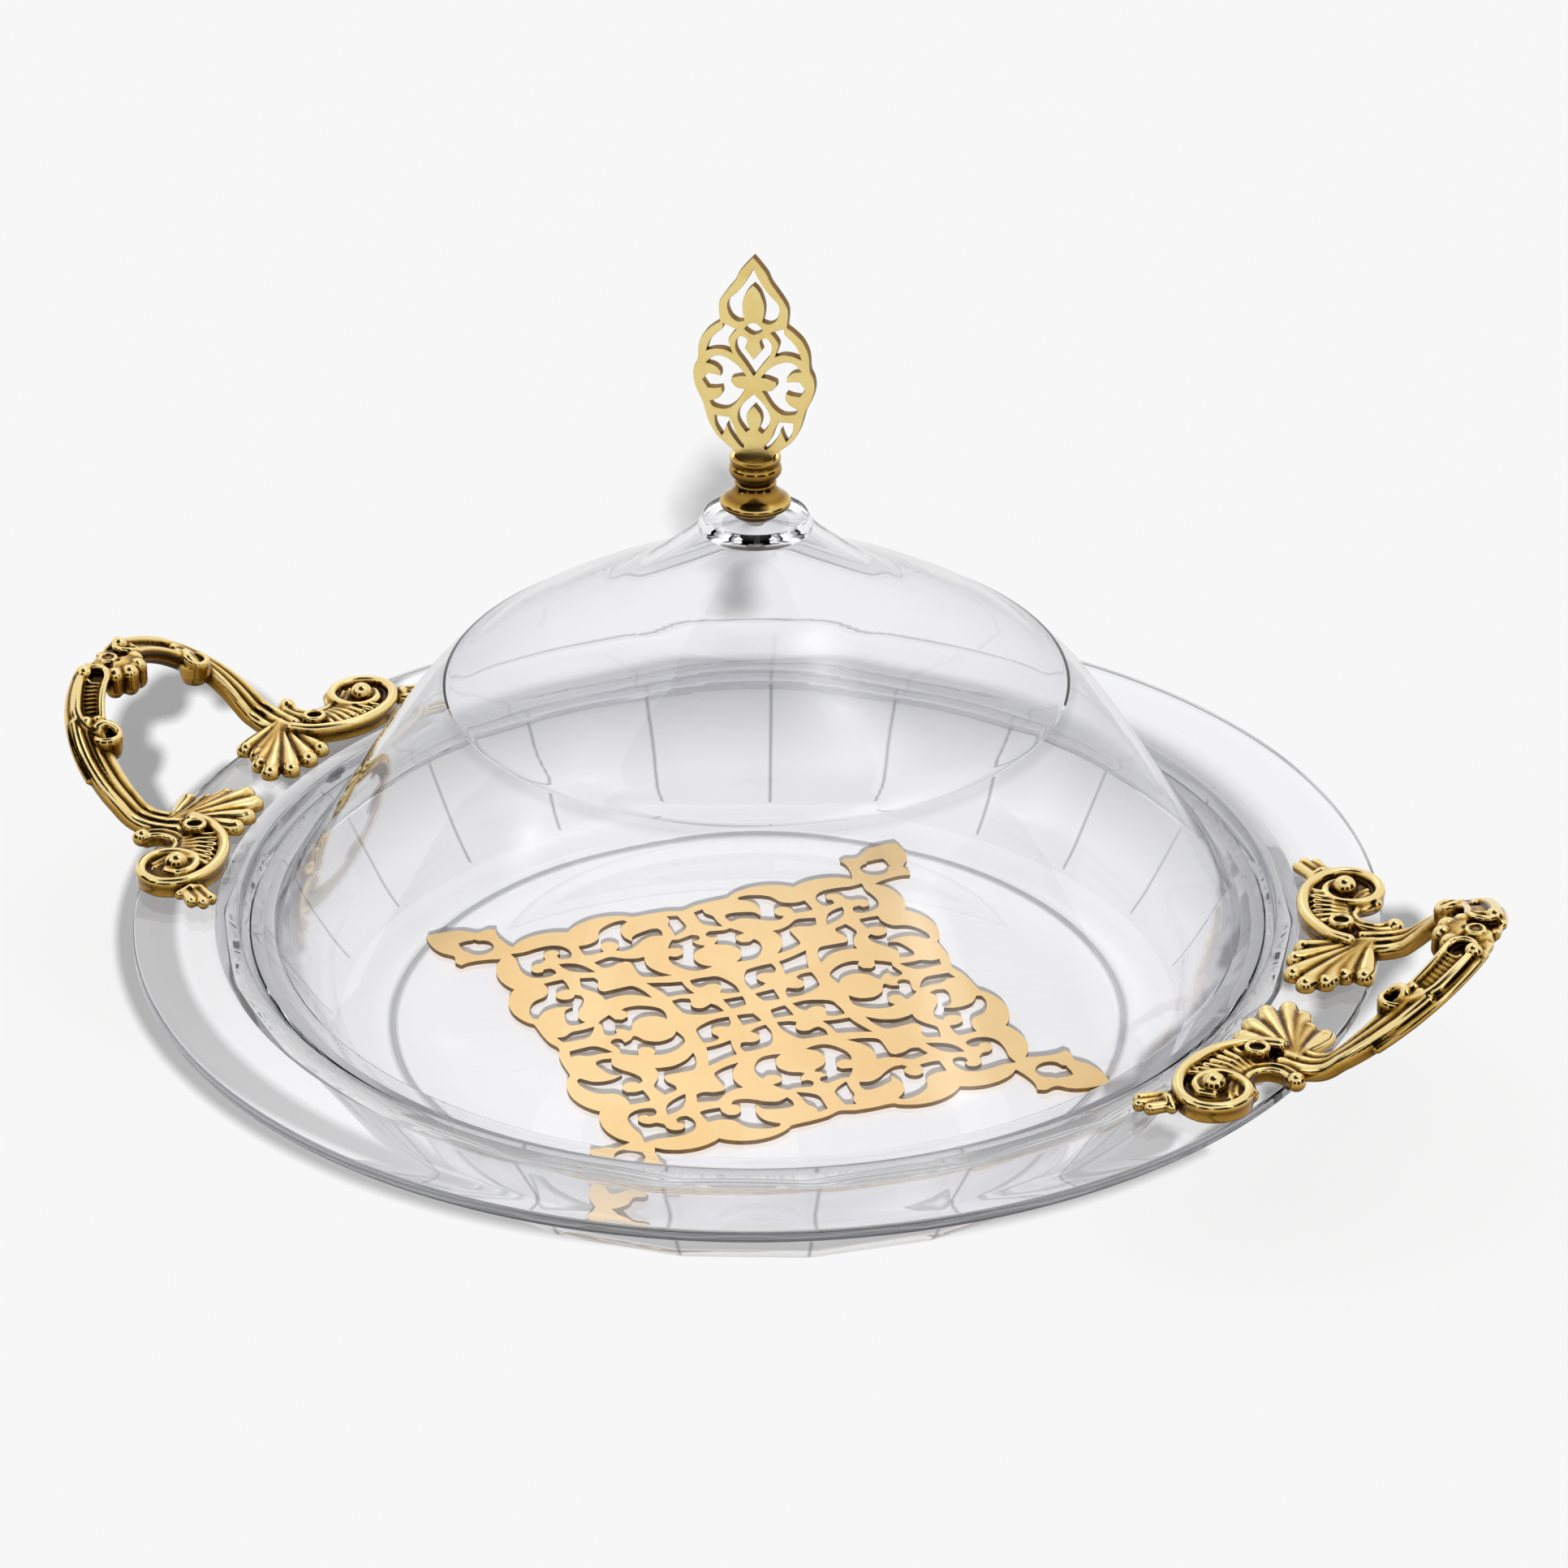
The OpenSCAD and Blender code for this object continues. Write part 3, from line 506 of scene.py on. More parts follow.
holes_four = [
    [(4.3, 0), (6, 2.6), (7.5, 4.4), (9.4, 2.9), (12.6, 0)],
    [(22.6, 0), (26.4, 2.4), (29.8, 5.4), (33.4, 3.2), (40.2, 0)],
    [(58.4, 0), (62, 1.7), (66, 2.6), (69.4, 1.7), (72, 0)],
    [(77.4, 0), (77.6, 1.5), (79, 3), (79.4, 5.3), (78.2, 7.4), (76.2, 7.9), (74.6, 6.6),
     (75, 4.9), (73.4, 3.5), (71.5, 4), (70.1, 5.6), (71, 8), (73.2, 10.2), (76.5, 11.2),
     (80, 10), (83.4, 6.6), (86, 2.9), (89.6, 0)],
    [(96.4, 0), (97.1, 2.6), (99.2, 4.6), (101.6, 4.9), (103.6, 4), (105, 4.3), (105.9, 3.2),
     (107.2, 2.2), (108.9, 0)]]
loops = [outline]
for k in range(4):
    loops += [spun(hole, k) for hole in holes_eight]
    loops += [spun([(x, -y) for x, y in hole], k) for hole in holes_eight]
    loops += [spun(across(hole), k) for hole in holes_four]
# a hair's gap keeps two faces that touch from flickering
sheet_t, sheet_bevel, hair = 1.5, 0.16, 0.02
sheet_bm = cut_sheet([smooth(loop, 3, True) for loop in loops], sheet_t, sheet_bevel)
for v in sheet_bm.verts:
    r = math.hypot(v.co.x, v.co.y)
    v.co.z += floor_t + hair
    if r > flat_r:
        v.co.z += bend_r - math.sqrt(bend_r ** 2 - (r - flat_r) ** 2)
bmesh.ops.scale(sheet_bm, vec=(MM, MM, MM), verts=sheet_bm.verts)

# Satin gilding over brass plate, tumbled: a pale warm gold with a soft gloss
# (a metal, roughness 0.33) that drifts in tone over about 38 mm. The grit of
# the tumbling is drawn at 0.7 mm, coarser than the real one, so that it shows.
drift_size, grit_size = 38.5 * MM, 0.714 * MM
gilt_sheet, tree, out = blank("satin_gilt_sheet")
coords = node(tree, "ShaderNodeTexCoord")
cloud = node(tree, "ShaderNodeTexNoise", {"Scale": 1 / drift_size, "Detail": 3.0},
             {"Vector": coords.outputs["Object"]})
tone = node(tree, "ShaderNodeMix", {"A": paint("#FFE0A0"), "B": paint("#F6CB86")},
            {"Factor": cloud.outputs["Fac"]}, data_type="RGBA")
grit = node(tree, "ShaderNodeTexNoise", {"Scale": 1 / grit_size, "Detail": 2.0},
            {"Vector": coords.outputs["Object"]})
frost = node(tree, "ShaderNodeBump", {"Strength": 0.12, "Distance": 0.2 * MM},
             {"Height": grit.outputs["Fac"]})
gilt = node(tree, "ShaderNodeBsdfPrincipled", {"Metallic": 1.0, "Roughness": 0.33},
            {"Base Color": tone.outputs["Result"], "Normal": frost.outputs["Normal"]})
tree.links.new(gilt.outputs["BSDF"], out.inputs["Surface"])

# Cut edges in painted shade: the upright sides take a darker, duller copy of the
# gilt in a bronze brown (a metal, roughness 0.45), with a streak every 2 to 3 mm.
streak_size = 2.38 * MM
shaded_cut_edge, tree, out = blank("painted_shade_cut_edge")
coords = node(tree, "ShaderNodeTexCoord")
streak = node(tree, "ShaderNodeTexNoise", {"Scale": 1 / streak_size, "Detail": 3.0},
              {"Vector": coords.outputs["Object"]})
tone = node(tree, "ShaderNodeMix", {"A": paint("#6B4A1C"), "B": paint("#A07A3C")},
            {"Factor": streak.outputs["Fac"]}, data_type="RGBA")
dull = node(tree, "ShaderNodeBsdfPrincipled", {"Metallic": 1.0, "Roughness": 0.45},
            {"Base Color": tone.outputs["Result"]})
tree.links.new(dull.outputs["BSDF"], out.inputs["Surface"])

lattice = settle(sheet_bm, "openwork_sheet", [gilt_sheet, shaded_cut_edge], 18.0)
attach(lattice, "root")
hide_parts("lattice_insert")

# The knob: a flat openwork plate of satin gilt brass, stamped and softly
# polished, held in the slotted top of a small turned and polished foot. The
# foot stands on the cover's disc and is held by a screw from inside.
hub_z, plate_z, plate_t, plate_bevel = seat_z + cover_h, 19.5, 3.0, 0.35
plate_half = [
    (6, -3), (6, 0.4), (8.4, 3), (11.8, 6), (14.3, 10), (15.6, 14), (16.4, 17), (18.3, 21),
    (19.3, 25), (18.9, 28.5), (17.8, 31), (17.4, 36), (15.6, 40), (13, 42.6), (10.6, 44.3),
    (10.9, 50), (8.8, 54), (5.6, 58.3), (4.3, 61.2), (1.8, 64.3), (0, 66.3)]
middle_holes = [
    [(0, 62.3), (2.2, 58), (4.8, 54.5), (7.5, 51.8), (8.2, 49.2), (7.1, 46.3), (5, 44.9),
     (2.9, 45.3), (3.4, 48), (3.4, 51), (2, 55), (0, 57.2)],
    [(0, 41), (1.6, 41.6), (2.8, 42.5), (1.6, 44), (0, 44.6)],
    [(0, 27.3), (2.5, 31), (5.4, 35), (5.6, 38), (4.2, 40), (2.5, 39.5), (2, 38.4), (2.8, 36),
     (0, 32.5)],
    [(0, 21), (3, 18), (5, 14.5), (4.8, 11.5), (2.6, 8.3), (1.4, 9.2), (2.4, 12), (2, 14.8),
     (0, 17.3)]]
side_holes = [
    [(5.5, 42), (9.6, 43.6), (9.8, 41.8), (11.8, 40), (13.8, 37.5), (15, 34.2), (12.3, 35.1),
     (9.3, 35.2), (6.8, 34.3), (7.6, 36.5), (8, 38.5), (6.8, 40.5)],
    [(8, 12.5), (12.5, 12.7), (12.2, 9.5), (10.3, 6.3), (9.4, 8), (8.6, 10.4), (7.6, 7.6),
     (5, 4), (3.4, 2.7), (3.2, 3.6), (5.4, 6.5), (6.6, 9.8)],
    [(2.5, 27), (5, 30), (9, 32.4), (12.5, 32.5), (15, 30.2), (12.3, 29.5), (10.6, 27.8),
     (10.5, 26), (12.4, 26.4), (14.6, 26.5), (16.2, 24.2), (14.6, 21.9), (12.4, 22),
     (10.3, 22.5), (10, 20.3), (11.5, 18.5), (14, 17.3), (12.8, 15.8), (9, 15.4), (6, 17.5),
     (4, 20.5), (2.8, 22.4), (5.5, 22.7), (7.3, 24.5), (7, 26), (4.5, 26.8)]]


def flipped(points):
    """A half outline and its mirror half about the upright line."""
    return list(points) + [(-x, y) for x, y in reversed(points) if abs(x) > 1e-6]


knob_loops = [flipped(plate_half)] + [flipped(hole) for hole in middle_holes]
knob_loops += side_holes + [[(-x, y) for x, y in hole] for hole in side_holes]
plate_bm = cut_sheet([smooth(loop, 3, True) for loop in knob_loops], plate_t, plate_bevel)
stand_up = (Matrix.Translation((0, 0, hub_z + plate_z))
            @ Matrix.Rotation(math.radians(8), 4, "Z")
            @ Matrix.Translation((0, plate_t / 2, 0)) @ Matrix.Rotation(math.radians(90), 4, "X"))
bmesh.ops.transform(plate_bm, verts=plate_bm.verts,
                    matrix=Matrix.Scale(MM, 4) @ stand_up @ Matrix.Scale(66 / 66.3, 4))

# Satin gilt brass, blasted and lightly buffed: a pale, greenish gold that glows
# more than it mirrors (a metal, roughness 0.36), clouded over about 8 mm. The
# blasting's pits are drawn at 1.1 mm, coarser than real, so that they show.
cloud_size, pit_size = 8.33 * MM, 1.11 * MM
satin_gilt, tree, out = blank("satin_gilt_brass")
coords = node(tree, "ShaderNodeTexCoord")
cloud = node(tree, "ShaderNodeTexNoise", {"Scale": 1 / cloud_size, "Detail": 5.0},
             {"Vector": coords.outputs["Object"]})
tone = node(tree, "ShaderNodeMix", {"A": paint("#FFEDAA"), "B": paint("#E9C872")},
            {"Factor": cloud.outputs["Fac"]}, data_type="RGBA")
speck = node(tree, "ShaderNodeTexNoise", {"Scale": 1 / pit_size, "Detail": 2.0},
             {"Vector": coords.outputs["Object"]})
frost = node(tree, "ShaderNodeBump", {"Strength": 0.3, "Distance": 0.3 * MM},
             {"Height": speck.outputs["Fac"]})
gilt = node(tree, "ShaderNodeBsdfPrincipled", {"Metallic": 1.0, "Roughness": 0.36},
            {"Base Color": tone.outputs["Result"], "Normal": frost.outputs["Normal"]})
tree.links.new(gilt.outputs["BSDF"], out.inputs["Surface"])

# the plate's cut sides take the same painted shade as the sheet's
knob_plate = settle(plate_bm, "openwork_knob_plate", [satin_gilt, shaded_cut_edge], 18.0)
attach(knob_plate, "root")
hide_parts("finial_plate")

# Polished gilding with painted light and shade: bright yellow and nearly a mirror
# (a metal, roughness 0.1 to 0.18) on all that stands out and faces up, brown to
# black in the hollows and on what faces down, rubbed unevenly in smears of about 11 mm.
smear_size, smear_depth = 11.1 * MM, 0.22
polished_gilt, tree, out = blank("polished_gilt_casting")
coords = node(tree, "ShaderNodeTexCoord")
painted_light_and_shade = node(tree, "ShaderNodeAttribute", attribute_name="painted_light_and_shade")
smear = node(tree, "ShaderNodeTexNoise", {"Scale": 1 / smear_size, "Detail": 3.0},
             {"Vector": coords.outputs["Object"]})
rubbed = node(tree, "ShaderNodeMath", {1: smear_depth}, {0: smear.outputs["Fac"]},
              operation="MULTIPLY")
level = node(tree, "ShaderNodeMath", links={0: painted_light_and_shade.outputs["Fac"], 1: rubbed.outputs[0]},
             operation="ADD")
tone = node(tree, "ShaderNodeValToRGB", links={"Fac": level.outputs[0]})
hollow, ridge = tone.color_ramp.elements
hollow.position, hollow.color = 0.14, paint("#2B1A05")
ridge.position, ridge.color = 0.95, paint("#F8DF9E")
for at, colour in ((0.32, "#5A4012"), (0.5, "#8C682A"), (0.7, "#C39A48")):
    tone.color_ramp.elements.new(at).color = paint(colour)
polish = node(tree, "ShaderNodeMapRange",
              {"From Min": 0.3, "From Max": 0.75, "To Min": 0.1, "To Max": 0.18},
              {"Value": smear.outputs["Fac"]})
gilt = node(tree, "ShaderNodeBsdfPrincipled", {"Metallic": 1.0},
            {"Base Color": tone.outputs["Color"], "Roughness": polish.outputs["Result"]})
tree.links.new(gilt.outputs["BSDF"], out.inputs["Surface"])


def paint_light_and_shade(mesh, reach):
    """Stores painted light and shade: 1 where a point stands out, 0 in a hollow.

    The surface is compared with itself after reach rounds of smoothing, and
    what looks down is darkened too, as painted shade from light above.
    """
    count = len(mesh.vertices)
    points = np.empty(count * 3)
    mesh.vertices.foreach_get("co", points)
    points = points.reshape(-1, 3)
    normals = np.empty(count * 3)
    mesh.vertices.foreach_get("normal", normals)
    normals = normals.reshape(-1, 3)
    ends = np.empty(len(mesh.edges) * 2, dtype=np.int32)
    mesh.edges.foreach_get("vertices", ends)
    ends = ends.reshape(-1, 2)
    near = np.bincount(ends.ravel(), minlength=count)[:, None]
    calm = points.copy()
    for _ in range(reach):
        total = np.zeros_like(calm)
        for axis in range(3):
            total[:, axis] = (np.bincount(ends[:, 0], calm[ends[:, 1], axis], count)
                              + np.bincount(ends[:, 1], calm[ends[:, 0], axis], count))
        calm = total / near
    # painted light and shade: what stands out is lighter, hollows are darker
    stands = ((points - calm) * normals).sum(axis=1) / MM
    height = np.clip(0.5 + stands * 1.7, 0.06, 1)
    # painted shade on faces that turn down, as if lit from above
    upward = np.clip(0.48 + 0.56 * normals[:, 2], 0.14, 1)
    layer = mesh.attributes.new("painted_light_and_shade", "FLOAT", "POINT")
    layer.data.foreach_set("value", (height * upward).astype(np.float32))


foot_line = [
    (2.1, 0), (7, 0), (7.4, 0.6), (7.6, 1.6), (9.6, 2.3), (10.8, 3.2), (11, 4.2), (10.5, 5.2),
    (8.8, 6.4), (7.5, 7.7), (6.4, 9), (6, 9.9), (6.5, 10.4), (6.5, 11), (5.9, 11.5),
    (6.1, 12.2), (7, 12.8), (7.9, 13.8), (8.2, 15), (8, 16.2), (7.4, 17), (7.3, 17.6),
    (7.9, 18.3), (7.9, 19.2), (7.5, 19.5), (6.4, 19.5), (6.2, 17), (2.1, 17)]
foot_line = [tuple(p) for p in smooth(foot_line, 3, corner=40)]
foot_bm = turned([(r, z + hub_z + hair) for r, z in foot_line], 96, loop=True)
knob_foot = settle(foot_bm, "turned_knob_foot", [polished_gilt], 40.0)
paint_light_and_shade(knob_foot.data, 6)
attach(knob_foot, "root")
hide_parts("finial_foot")


# The handles: two like zinc castings, gilded and polished, with painted shade in
# the recesses. Each has a leaning arch with ribbed panels and a shell crown, and
# two scroll feet that are screwed down on the rim. One is made, then turned.
def join(bm, one):
    """Adds a finished bmesh to another and frees it."""
    kept = bpy.data.meshes.new("part")
    one.to_mesh(kept)
    one.free()
    bm.from_mesh(kept)
    bpy.data.meshes.remove(kept)


def drawn(bm, section, places):
    """Draws a closed section along a row of places, both ends closed."""
    one = bmesh.new()
    first = [one.verts.new(places[0] @ Vector((x, y, 0))) for x, y in section]
    edges = list(one.faces.new(first).edges)
    for here, there in zip(places, places[1:]):
        made = bmesh.ops.extrude_edge_only(one, edges=edges)["geom"]
        moved = points_of(made)
        fresh = set(moved)
        edges = [g for g in made if isinstance(g, bmesh.types.BMEdge) and set(g.verts) <= fresh]
        bmesh.ops.transform(one, matrix=there @ here.inverted(), verts=moved)
    bmesh.ops.contextual_create(one, geom=edges)
    bmesh.ops.recalc_face_normals(one, faces=one.faces)
    join(bm, one)


def places(path, wide=1.0, tall=1.0):
    """Frames along a path: X across, Y up, each with its own scale."""
    made = []
    n = len(path)
    for k, p in enumerate(path):
        along = (path[min(k + 1, n - 1)] - path[max(k - 1, 0)]).normalized()
        side = along.cross(Vector((0, 0, 1) if abs(along.z) < 0.99 else (1, 0, 0))).normalized()
        top = side.cross(along).normalized()
        t = k / (n - 1)
        w = wide(t) if callable(wide) else wide
        h = tall(t) if callable(tall) else tall
        made.append(Matrix(((side.x * w, top.x * h, along.x, p.x),
                            (side.y * w, top.y * h, along.y, p.y),
                            (side.z * w, top.z * h, along.z, p.z),
                            (0, 0, 0, 1))))
    return made


def ball(bm, place, r):
    """A round ball."""
    one = bmesh.new()
    bmesh.ops.create_uvsphere(one, u_segments=20, v_segments=12, radius=r,
                              matrix=Matrix.Translation(place))
    join(bm, one)


def tube(bm, path, radius):
    """A round bar along a path, its ends domed."""
    path = [Vector(p) for p in path]
    size = radius if callable(radius) else lambda t: radius
    turns = [2 * math.pi * k / 12 for k in range(12)]
    drawn(bm, [(math.cos(a), math.sin(a)) for a in turns], places(path, size, size))
    ball(bm, path[0], size(0.0))
    ball(bm, path[-1], size(1.0))


def lathe(bm, place, line):
    """Turns a closed (radius, height) line about an upright axis."""
    one = bmesh.new()
    points = [one.verts.new(Vector(place) + Vector((r, 0, z))) for r, z in line]
    edges = [one.edges.new((points[k - 1], v)) for k, v in enumerate(points)]
    bmesh.ops.spin(one, geom=points + edges, cent=place, axis=(0, 0, 1), angle=2 * math.pi,
                   steps=32, use_merge=True, use_duplicate=False)
    bmesh.ops.recalc_face_normals(one, faces=one.faces)
    join(bm, one)


arch_centre, arch_r = Vector((208.4, 0, 9.0)), 40.5
crown_way = Vector((math.sqrt(0.5), 0, math.sqrt(0.5)))


def on_arch(turn, out_by=0.0, up_by=0.0):
    """A point by the arch: degrees from the crown, then outwards and up."""
    a = math.radians(turn)
    along = -math.sin(a) * crown_way + Vector((0, math.cos(a), 0))
    top = (Vector((0, 0, 1)) - along.z * along).normalized()
    side = along.cross(top)
    return (arch_centre + arch_r * (math.cos(a) * crown_way + Vector((0, math.sin(a), 0)))
            + side * out_by + top * up_by)


def ease(t):
    """Goes from 0 to 1, slow at both ends."""
    return t * t * (3 - 2 * t)


half = bmesh.new()
# stem: three round ridges over one body, from under the panel down to the fan
stem = smooth([on_arch(a) for a in range(46, 91, 4)]
              + [(204.6, 40.5, 5.4), (200, 40, 3.4), (195.5, 38.8, 2.6), (191, 37.4, 2.4)], 3)
stem_section = [(-4.6, -3.4), (-3.2, -4.0), (3.2, -4.0), (4.6, -3.4), (5.0, -1.6), (4.6, -0.4),
                (-4.6, -0.4), (-5.0, -1.6)]
drawn(half, stem_section,
      places(stem, lambda t: 1.08 + 0.2 * ease(t), lambda t: 1.05 - 0.35 * ease(t)))
for out_by, r in ((-3.5, 2.15), (0.0, 2.35), (3.5, 2.25)):
    ridge = [place @ Vector((out_by, 0, 0))
             for place in places(stem, lambda t: 1.02 + 0.15 * ease(t))]
    tube(half, ridge, lambda t, r=r: r * (1.0 + 0.1 * ease(t)))
# ribbed panel: a sunk floor, ribs up to the height of its borders
panel = [on_arch(a, 0.2, -0.4) for a in range(4, 61, 3)]
drawn(half, [(-5.8, -2.8), (-3.8, -4.9), (3.8, -4.9), (5.9, -2.8), (5.9, -0.6), (-5.8, -0.6)],
      places(panel, lambda t: 1.0 - 0.08 * t))
tube(half, [on_arch(a, 5.4, -1.5) for a in range(13, 75, 3)], 1.7)
border = ([on_arch(a, 3.1, 0.45) for a in range(16, 41, 3)]
          + [on_arch(44, 2.5, 0.45), on_arch(48, 1.2, 0.45), on_arch(51.5, -0.8, 0.5),
             on_arch(53.6, -3.2, 0.7)])
curl_at, curl_r = on_arch(56.2, -5.4, 0.0), 4.0
flow = (on_arch(60, -5.4, 0.0) - curl_at).normalized()
cross = (on_arch(56.2, -6.4, 0.0) - curl_at).normalized()
for a in (215, 180, 140, 100, 60, 20):
    way = math.cos(math.radians(a)) * flow + math.sin(math.radians(a)) * cross
    border.append(curl_at + curl_r * way + Vector((0, 0, 1.0)))
tube(half, smooth(border, 3), lambda t: 1.6 + 0.5 * math.sin(math.pi * min(1.0, t * 1.05)))
inner = ([on_arch(13.5, 3.2, 0.5), on_arch(10.8, 1.2, 0.6), on_arch(10.2, -1.6, 0.6),
          on_arch(12.4, -4.0, 0.6)]
         + [on_arch(a, -5.3, 0.3) for a in range(17, 51, 4)] + [on_arch(52, -5.6, 0.3)])
tube(half, smooth(inner, 3), 1.2)
rib_section = [(-0.68, -0.6), (-0.66, 0.7), (-0.34, 1.1), (0.34, 1.1), (0.66, 0.7), (0.68, -0.6)]
for k in range(10):
    a = 21.5 + 2.7 * k
    reach = 2.4 if k < 6 else 2.4 - 0.55 * (k - 5)
    rib = [on_arch(a + 0.25 * i, -4.8 + (reach + 4.8) * i / 4, -0.6) for i in range(5)]
    drawn(half, rib_section, places(rib))
ball(half, on_arch(16.0, 3.0, 0.2), 3.0)
ball(half, on_arch(20.6, 0.6, -0.1), 1.1)
# cup where the outer border rolls in under the panel
lathe(half, tuple(curl_at), [
    (0.01, -0.6), (2.0, -0.5), (2.9, 0.6), (3.3, 1.9), (4.2, 2.4), (5.1, 1.8), (5.5, 0.4),
    (5.3, -3.5), (4.6, -6.0), (3.0, -7.2), (0.01, -7.4)])
# collar blocks between cup and stem
for out_by, wide in ((-4.2, 1.9), (-1.0, 1.3)):
    tube(half, [on_arch(63.4 + k * 0.8, out_by, -0.5) for k in range(5)], wide)
# shell fan at the foot: seven lobes from one root
fan_root = Vector((194, 39.5, 0))
tips = [(197, 20), (191, 18), (187, 12), (181.5, 8.5), (176, 13), (174, 22), (174, 30)]
lobe_section = [(-0.8, 0), (-0.92, 0.5), (-0.72, 0.8), (-0.38, 0.97), (0, 1.03), (0.38, 0.97),
                (0.72, 0.8), (0.92, 0.5), (0.8, 0)]
for k, (x, y) in enumerate(tips):
    tip = Vector((x, y, 0))
    middle = fan_root.lerp(tip, 0.5) + Vector((-0.6, 1.5 - 0.5 * k, 0))
    path = smooth([fan_root, middle, tip], 7)
    drawn(half, lobe_section,
          places(path, lambda t: (1.1 + 2.75 * ease(t)) * (1 if t < 0.97 else 0.85),
                 lambda t: 4.9 - 0.9 * t * t))
    ball(half, tip + Vector((0, 0, 1.0)), 3.3)
# screw boss with its hole
lathe(half, (182.2, 42, 0), [(2.2, 3.4), (2.3, 7.5), (2.8, 8.0), (3.5, 8.0), (4.1, 7.3),
                             (4.0, 5.5), (4.4, 0), (2.2, 0)])
# leg's body, then the leaf and the scroll's floor
leg = [(193, 39.5, 0), (187, 41.5, 0), (181, 45, 0), (175, 52, 0), (173, 60, 0), (175, 67, 0)]
leg_section = [(-1, 0), (-1, 0.7), (-0.82, 0.95), (-0.4, 1.05), (0.4, 1.05), (0.82, 0.95),
               (1, 0.7), (1, 0)]
drawn(half, leg_section,
      places(smooth(leg, 4), lambda t: 5.2 + 3.2 * ease(min(1, t * 1.4)), 3.3))
lathe(half, (176, 66, 0), [(0.01, 0), (0.01, 5.2), (6.0, 4.4), (9.6, 3.6), (10.4, 0)])
scroll = [
    (187, 34.5), (181, 35.8), (175, 39.5), (170, 44.8), (166.6, 51.5), (164.9, 59), (165.6, 67),
    (169.4, 74), (176.2, 77.2), (183, 74.8), (186.8, 69), (186.4, 62.4), (182, 58), (176, 57),
    (171.6, 60), (170.6, 65.4), (173.4, 69.6), (177.4, 69.2)]
scroll = smooth([(x, y, 4.6) for x, y in scroll], 4)
tube(half, scroll, lambda t: 2.35 - 0.75 * t)
drawn(half, [(-1, 0), (-1, 4.4), (1, 4.4), (1, 0)],
      places([Vector((p.x, p.y, 0)) for p in scroll[:52]], lambda t: 1.6, 1.0))
ball(half, (176.2, 65.2, 5.6), 4.0)
for k in range(7):
    t = k / 6
    a = Vector((183.0, 48.0, 4.0)).lerp(Vector((178.0, 58.5, 4.2)), t)
    b = Vector((174.5, 42.0, 4.6)).lerp(Vector((167.5, 60.5, 4.6)), t)
    tube(half, [a, a.lerp(b, 0.5) + Vector((0, 0, 0.5)), b], 1.2)
# bound tail: parallel fingers held by a collar
for side, far in ((-2.6, 13.0), (0.6, 14.2), (3.4, 11.5)):
    start, way, aside = Vector((169.0, 71.5, 2.7)), Vector((-0.8, 0.6, 0)), Vector((0.6, 0.8, 0))
    path = [start + way * (far * i / 4) + aside * side * (0.75 + 0.07 * i) for i in range(5)]
    tube(half, path, lambda t: 1.75 + 0.25 * t)
tube(half, [(163.0, 72.4, 2.6), (165.4, 75.4, 3.9), (167.8, 78.4, 2.6)], 1.7)
# outer scroll with two ridges and its ball
eye_x, eye_y, eye_r = 190, 54.5, 8
hook = [(eye_x + eye_r * math.cos(math.radians(a)), eye_y + eye_r * math.sin(math.radians(a)))
        for a in range(-28, -191, -12)]
hook += [(181.4, 61.5), (183.2, 67.5)]
for out_by in (-1.3, 1.3):
    path = []
    for x, y in hook:
        away = Vector((x - eye_x, y - eye_y, 0)).normalized()
        path.append(Vector((x, y, 3.7)) + away * out_by)
    tube(half, smooth(path, 2), 1.25)
drawn(half, [(-1, 0), (-1, 3.6), (1, 3.6), (1, 0)],
      places(smooth([(x, y, 0) for x, y in hook], 2), lambda t: 2.3, 1.0))
ball(half, (197.4, 50.5, 3.2), 3.1)
tube(half, smooth([(183, 56, 3.2), (185.4, 58.6, 3.2), (186.6, 61.8, 3.0)], 3),
     lambda t: 1.4 + 0.8 * t)
ball(half, (187.2, 62.6, 3.0), 2.5)

# the other half is its mirror image across the arch
whole = bmesh.new()
join(whole, half)
everything = whole.verts[:] + whole.edges[:] + whole.faces[:]
copied = bmesh.ops.duplicate(whole, geom=everything)["geom"]
bmesh.ops.scale(whole, vec=(1, -1, 1), verts=points_of(copied))
bmesh.ops.reverse_faces(whole, faces=[g for g in copied if isinstance(g, bmesh.types.BMFace)])
# crown: a bead with a hole and a shell that looks into the finger gap
crown = Vector((236.2, 0, 38.6))
lathe(whole, tuple(crown), [
    (1.9, -4), (1.9, -0.5), (2.3, 0), (2.9, 0.1), (3.3, -0.5), (3.6, -1.1), (4.4, -1.2),
    (5.3, -2.2), (5.9, -4), (5.6, -6), (4.4, -8), (1.9, -8)])
tube(whole, [crown + Vector((0, 0, -8)), crown + Vector((0, 0, -5))], 4.6)
for k in range(4):
    a = math.radians(-63 + 42 * k)
    way = Vector((-math.cos(a), math.sin(a), 0))
    path = [crown + Vector((-2.6, 0, -3.6)) + way * r for r in (1, 4, 7.4)]
    for drop in (0, -1.1, -2.2, -3.3, -4.4):
        tube(whole, [p + Vector((0, 0, drop)) for p in path], lambda t: 1.6 + 1.7 * t)
for k in range(9):
    a = math.radians(-68 + 17 * k)
    way = Vector((-math.cos(a), math.sin(a), 0))
    tube(whole, [crown + Vector((-3.0, 0, -0.9 - 0.1 * r)) + way * r for r in (2, 4.5, 7)], 0.7)
bmesh.ops.translate(whole, vec=(0, 0, tray_h + hair), verts=whole.verts)
bmesh.ops.scale(whole, vec=(MM, MM, MM), verts=whole.verts)
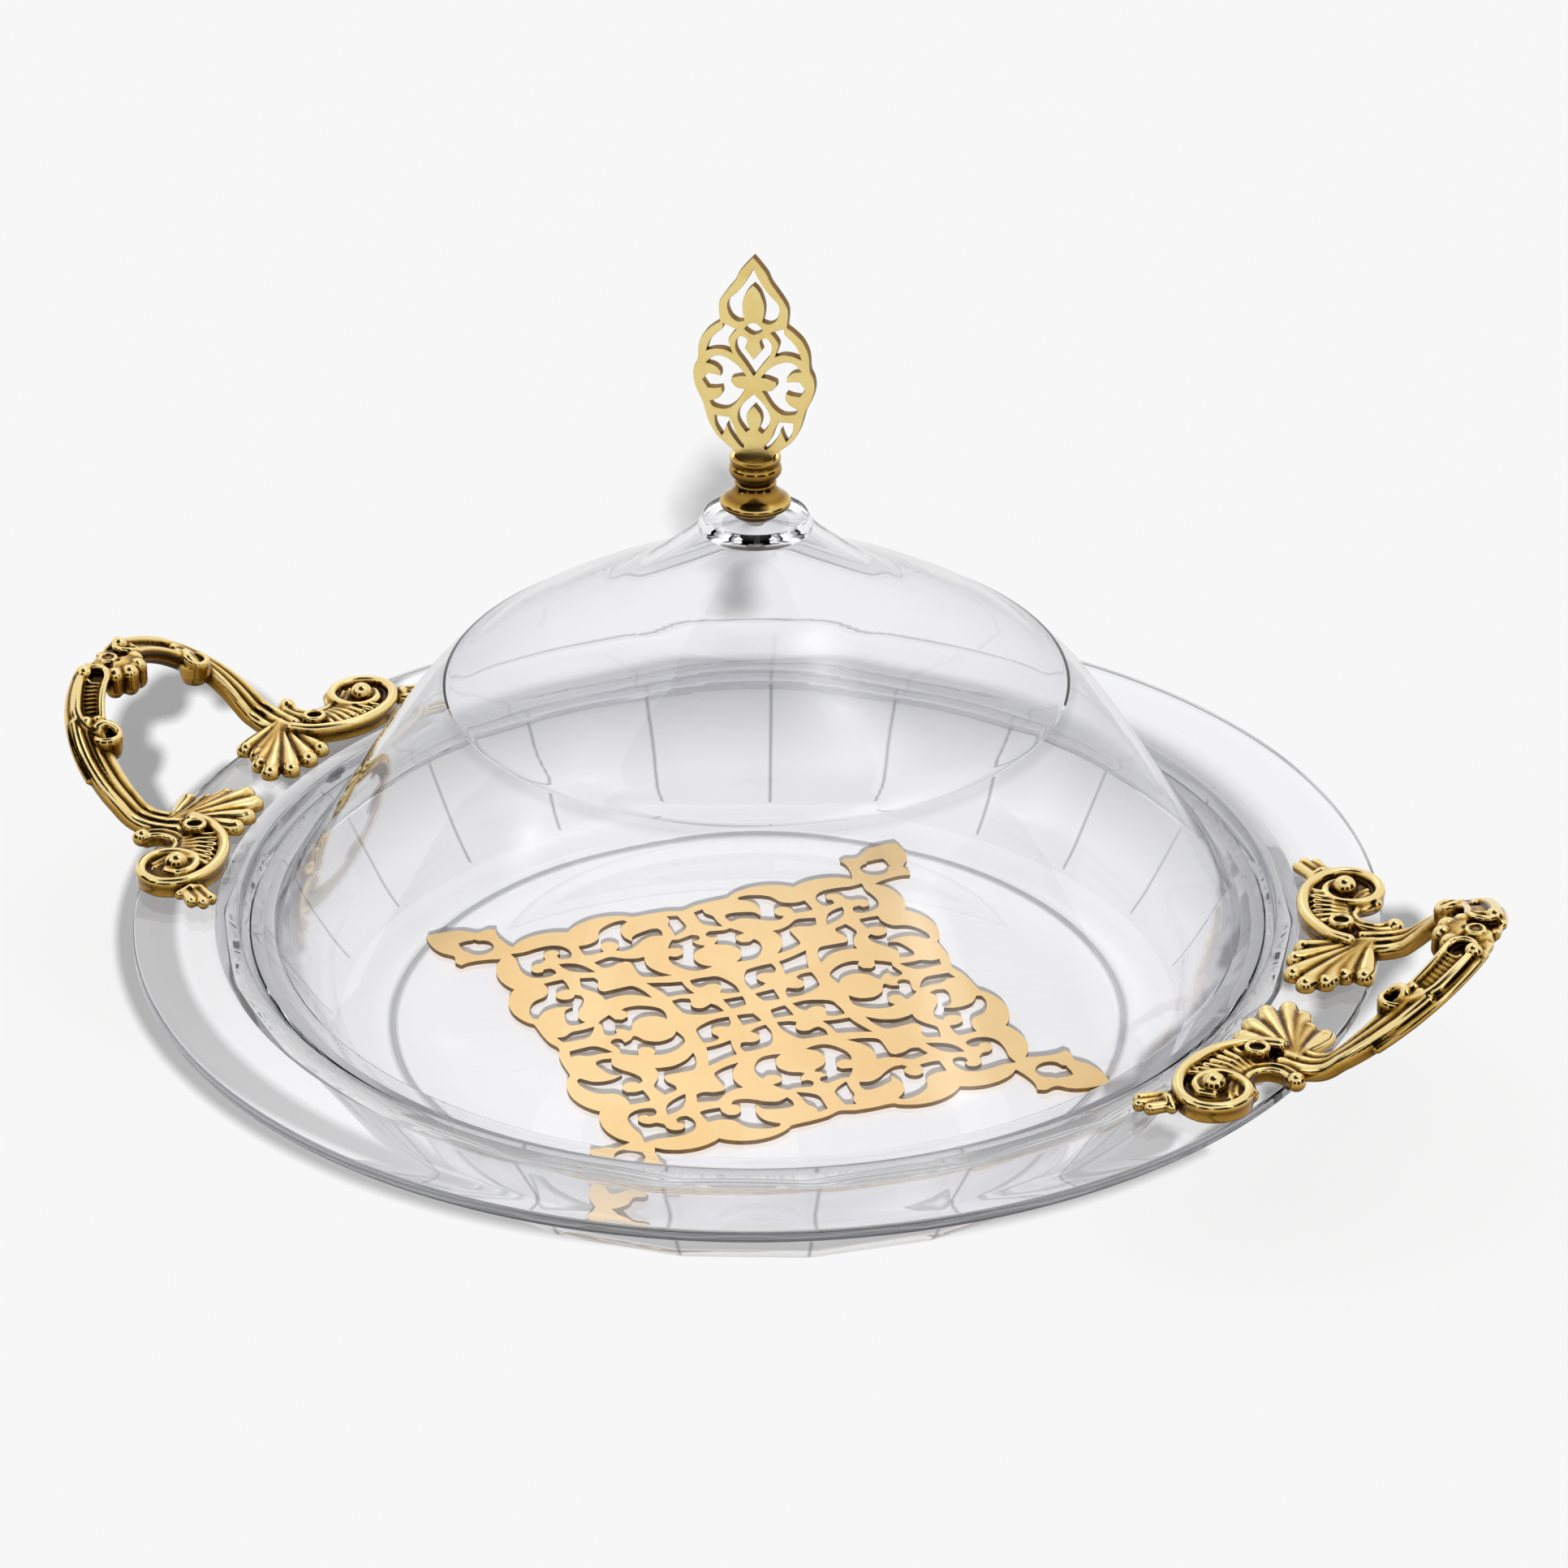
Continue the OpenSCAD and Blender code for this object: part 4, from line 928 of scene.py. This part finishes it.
right_handle = settle(whole, "scroll_handle_right", [polished_gilt], 60.0)
# the parts melt into one skin, as in a casting, and the polish rounds them
melt = right_handle.modifiers.new("melt", "REMESH")
melt.mode = "VOXEL"
melt.voxel_size = 0.42 * MM
soften = right_handle.modifiers.new("soften", "SMOOTH")
soften.factor = 0.5
soften.iterations = 5
thin = right_handle.modifiers.new("thin", "DECIMATE")
thin.ratio = 0.74
depsgraph = bpy.context.evaluated_depsgraph_get()
shape = bpy.data.meshes.new_from_object(right_handle.evaluated_get(depsgraph))
right_handle.modifiers.clear()
right_handle.data = shape
shape.materials.clear()
shape.materials.append(polished_gilt)
shape.shade_smooth()
paint_light_and_shade(shape, 24)
other = shape.copy()
other.transform(Matrix.Rotation(math.pi, 4, "Z"))
left_handle = bpy.data.objects.new("scroll_handle_left", other)
scene.collection.objects.link(left_handle)
for handle, name in ((right_handle, "handle_right"), (left_handle, "handle_left")):
    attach(handle, "root")
    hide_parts(name)

# The fasteners: plain steel screws and washers, zinc plated in a barrel, put in
# from below. Their CAD solids stay and take the plating: bright zinc is a cool
# grey metal (roughness 0.2 to 0.4), drifting in tone over about 2 mm.
tone_size = 2 * MM
plated, tree, out = blank("zinc_plated_steel")
coords = node(tree, "ShaderNodeTexCoord")
plating = node(tree, "ShaderNodeTexNoise", {"Scale": 1 / tone_size, "Detail": 3.0},
               {"Vector": coords.outputs["Object"]})
polish = node(tree, "ShaderNodeMapRange", {"To Min": 0.2, "To Max": 0.4},
              {"Value": plating.outputs["Fac"]})
tone = node(tree, "ShaderNodeMix", {"A": paint("#9A9A98"), "B": paint("#C8C9CA")},
            {"Factor": plating.outputs["Fac"]}, data_type="RGBA")
steel = node(tree, "ShaderNodeBsdfPrincipled", {"Metallic": 1.0},
             {"Base Color": tone.outputs["Result"], "Roughness": polish.outputs["Result"]})
tree.links.new(steel.outputs["BSDF"], out.inputs["Surface"])
for name in ("finial_screw", "finial_washer", "handle_screws", "handle_washers"):
    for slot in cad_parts[name].material_slots:
        slot.material = plated
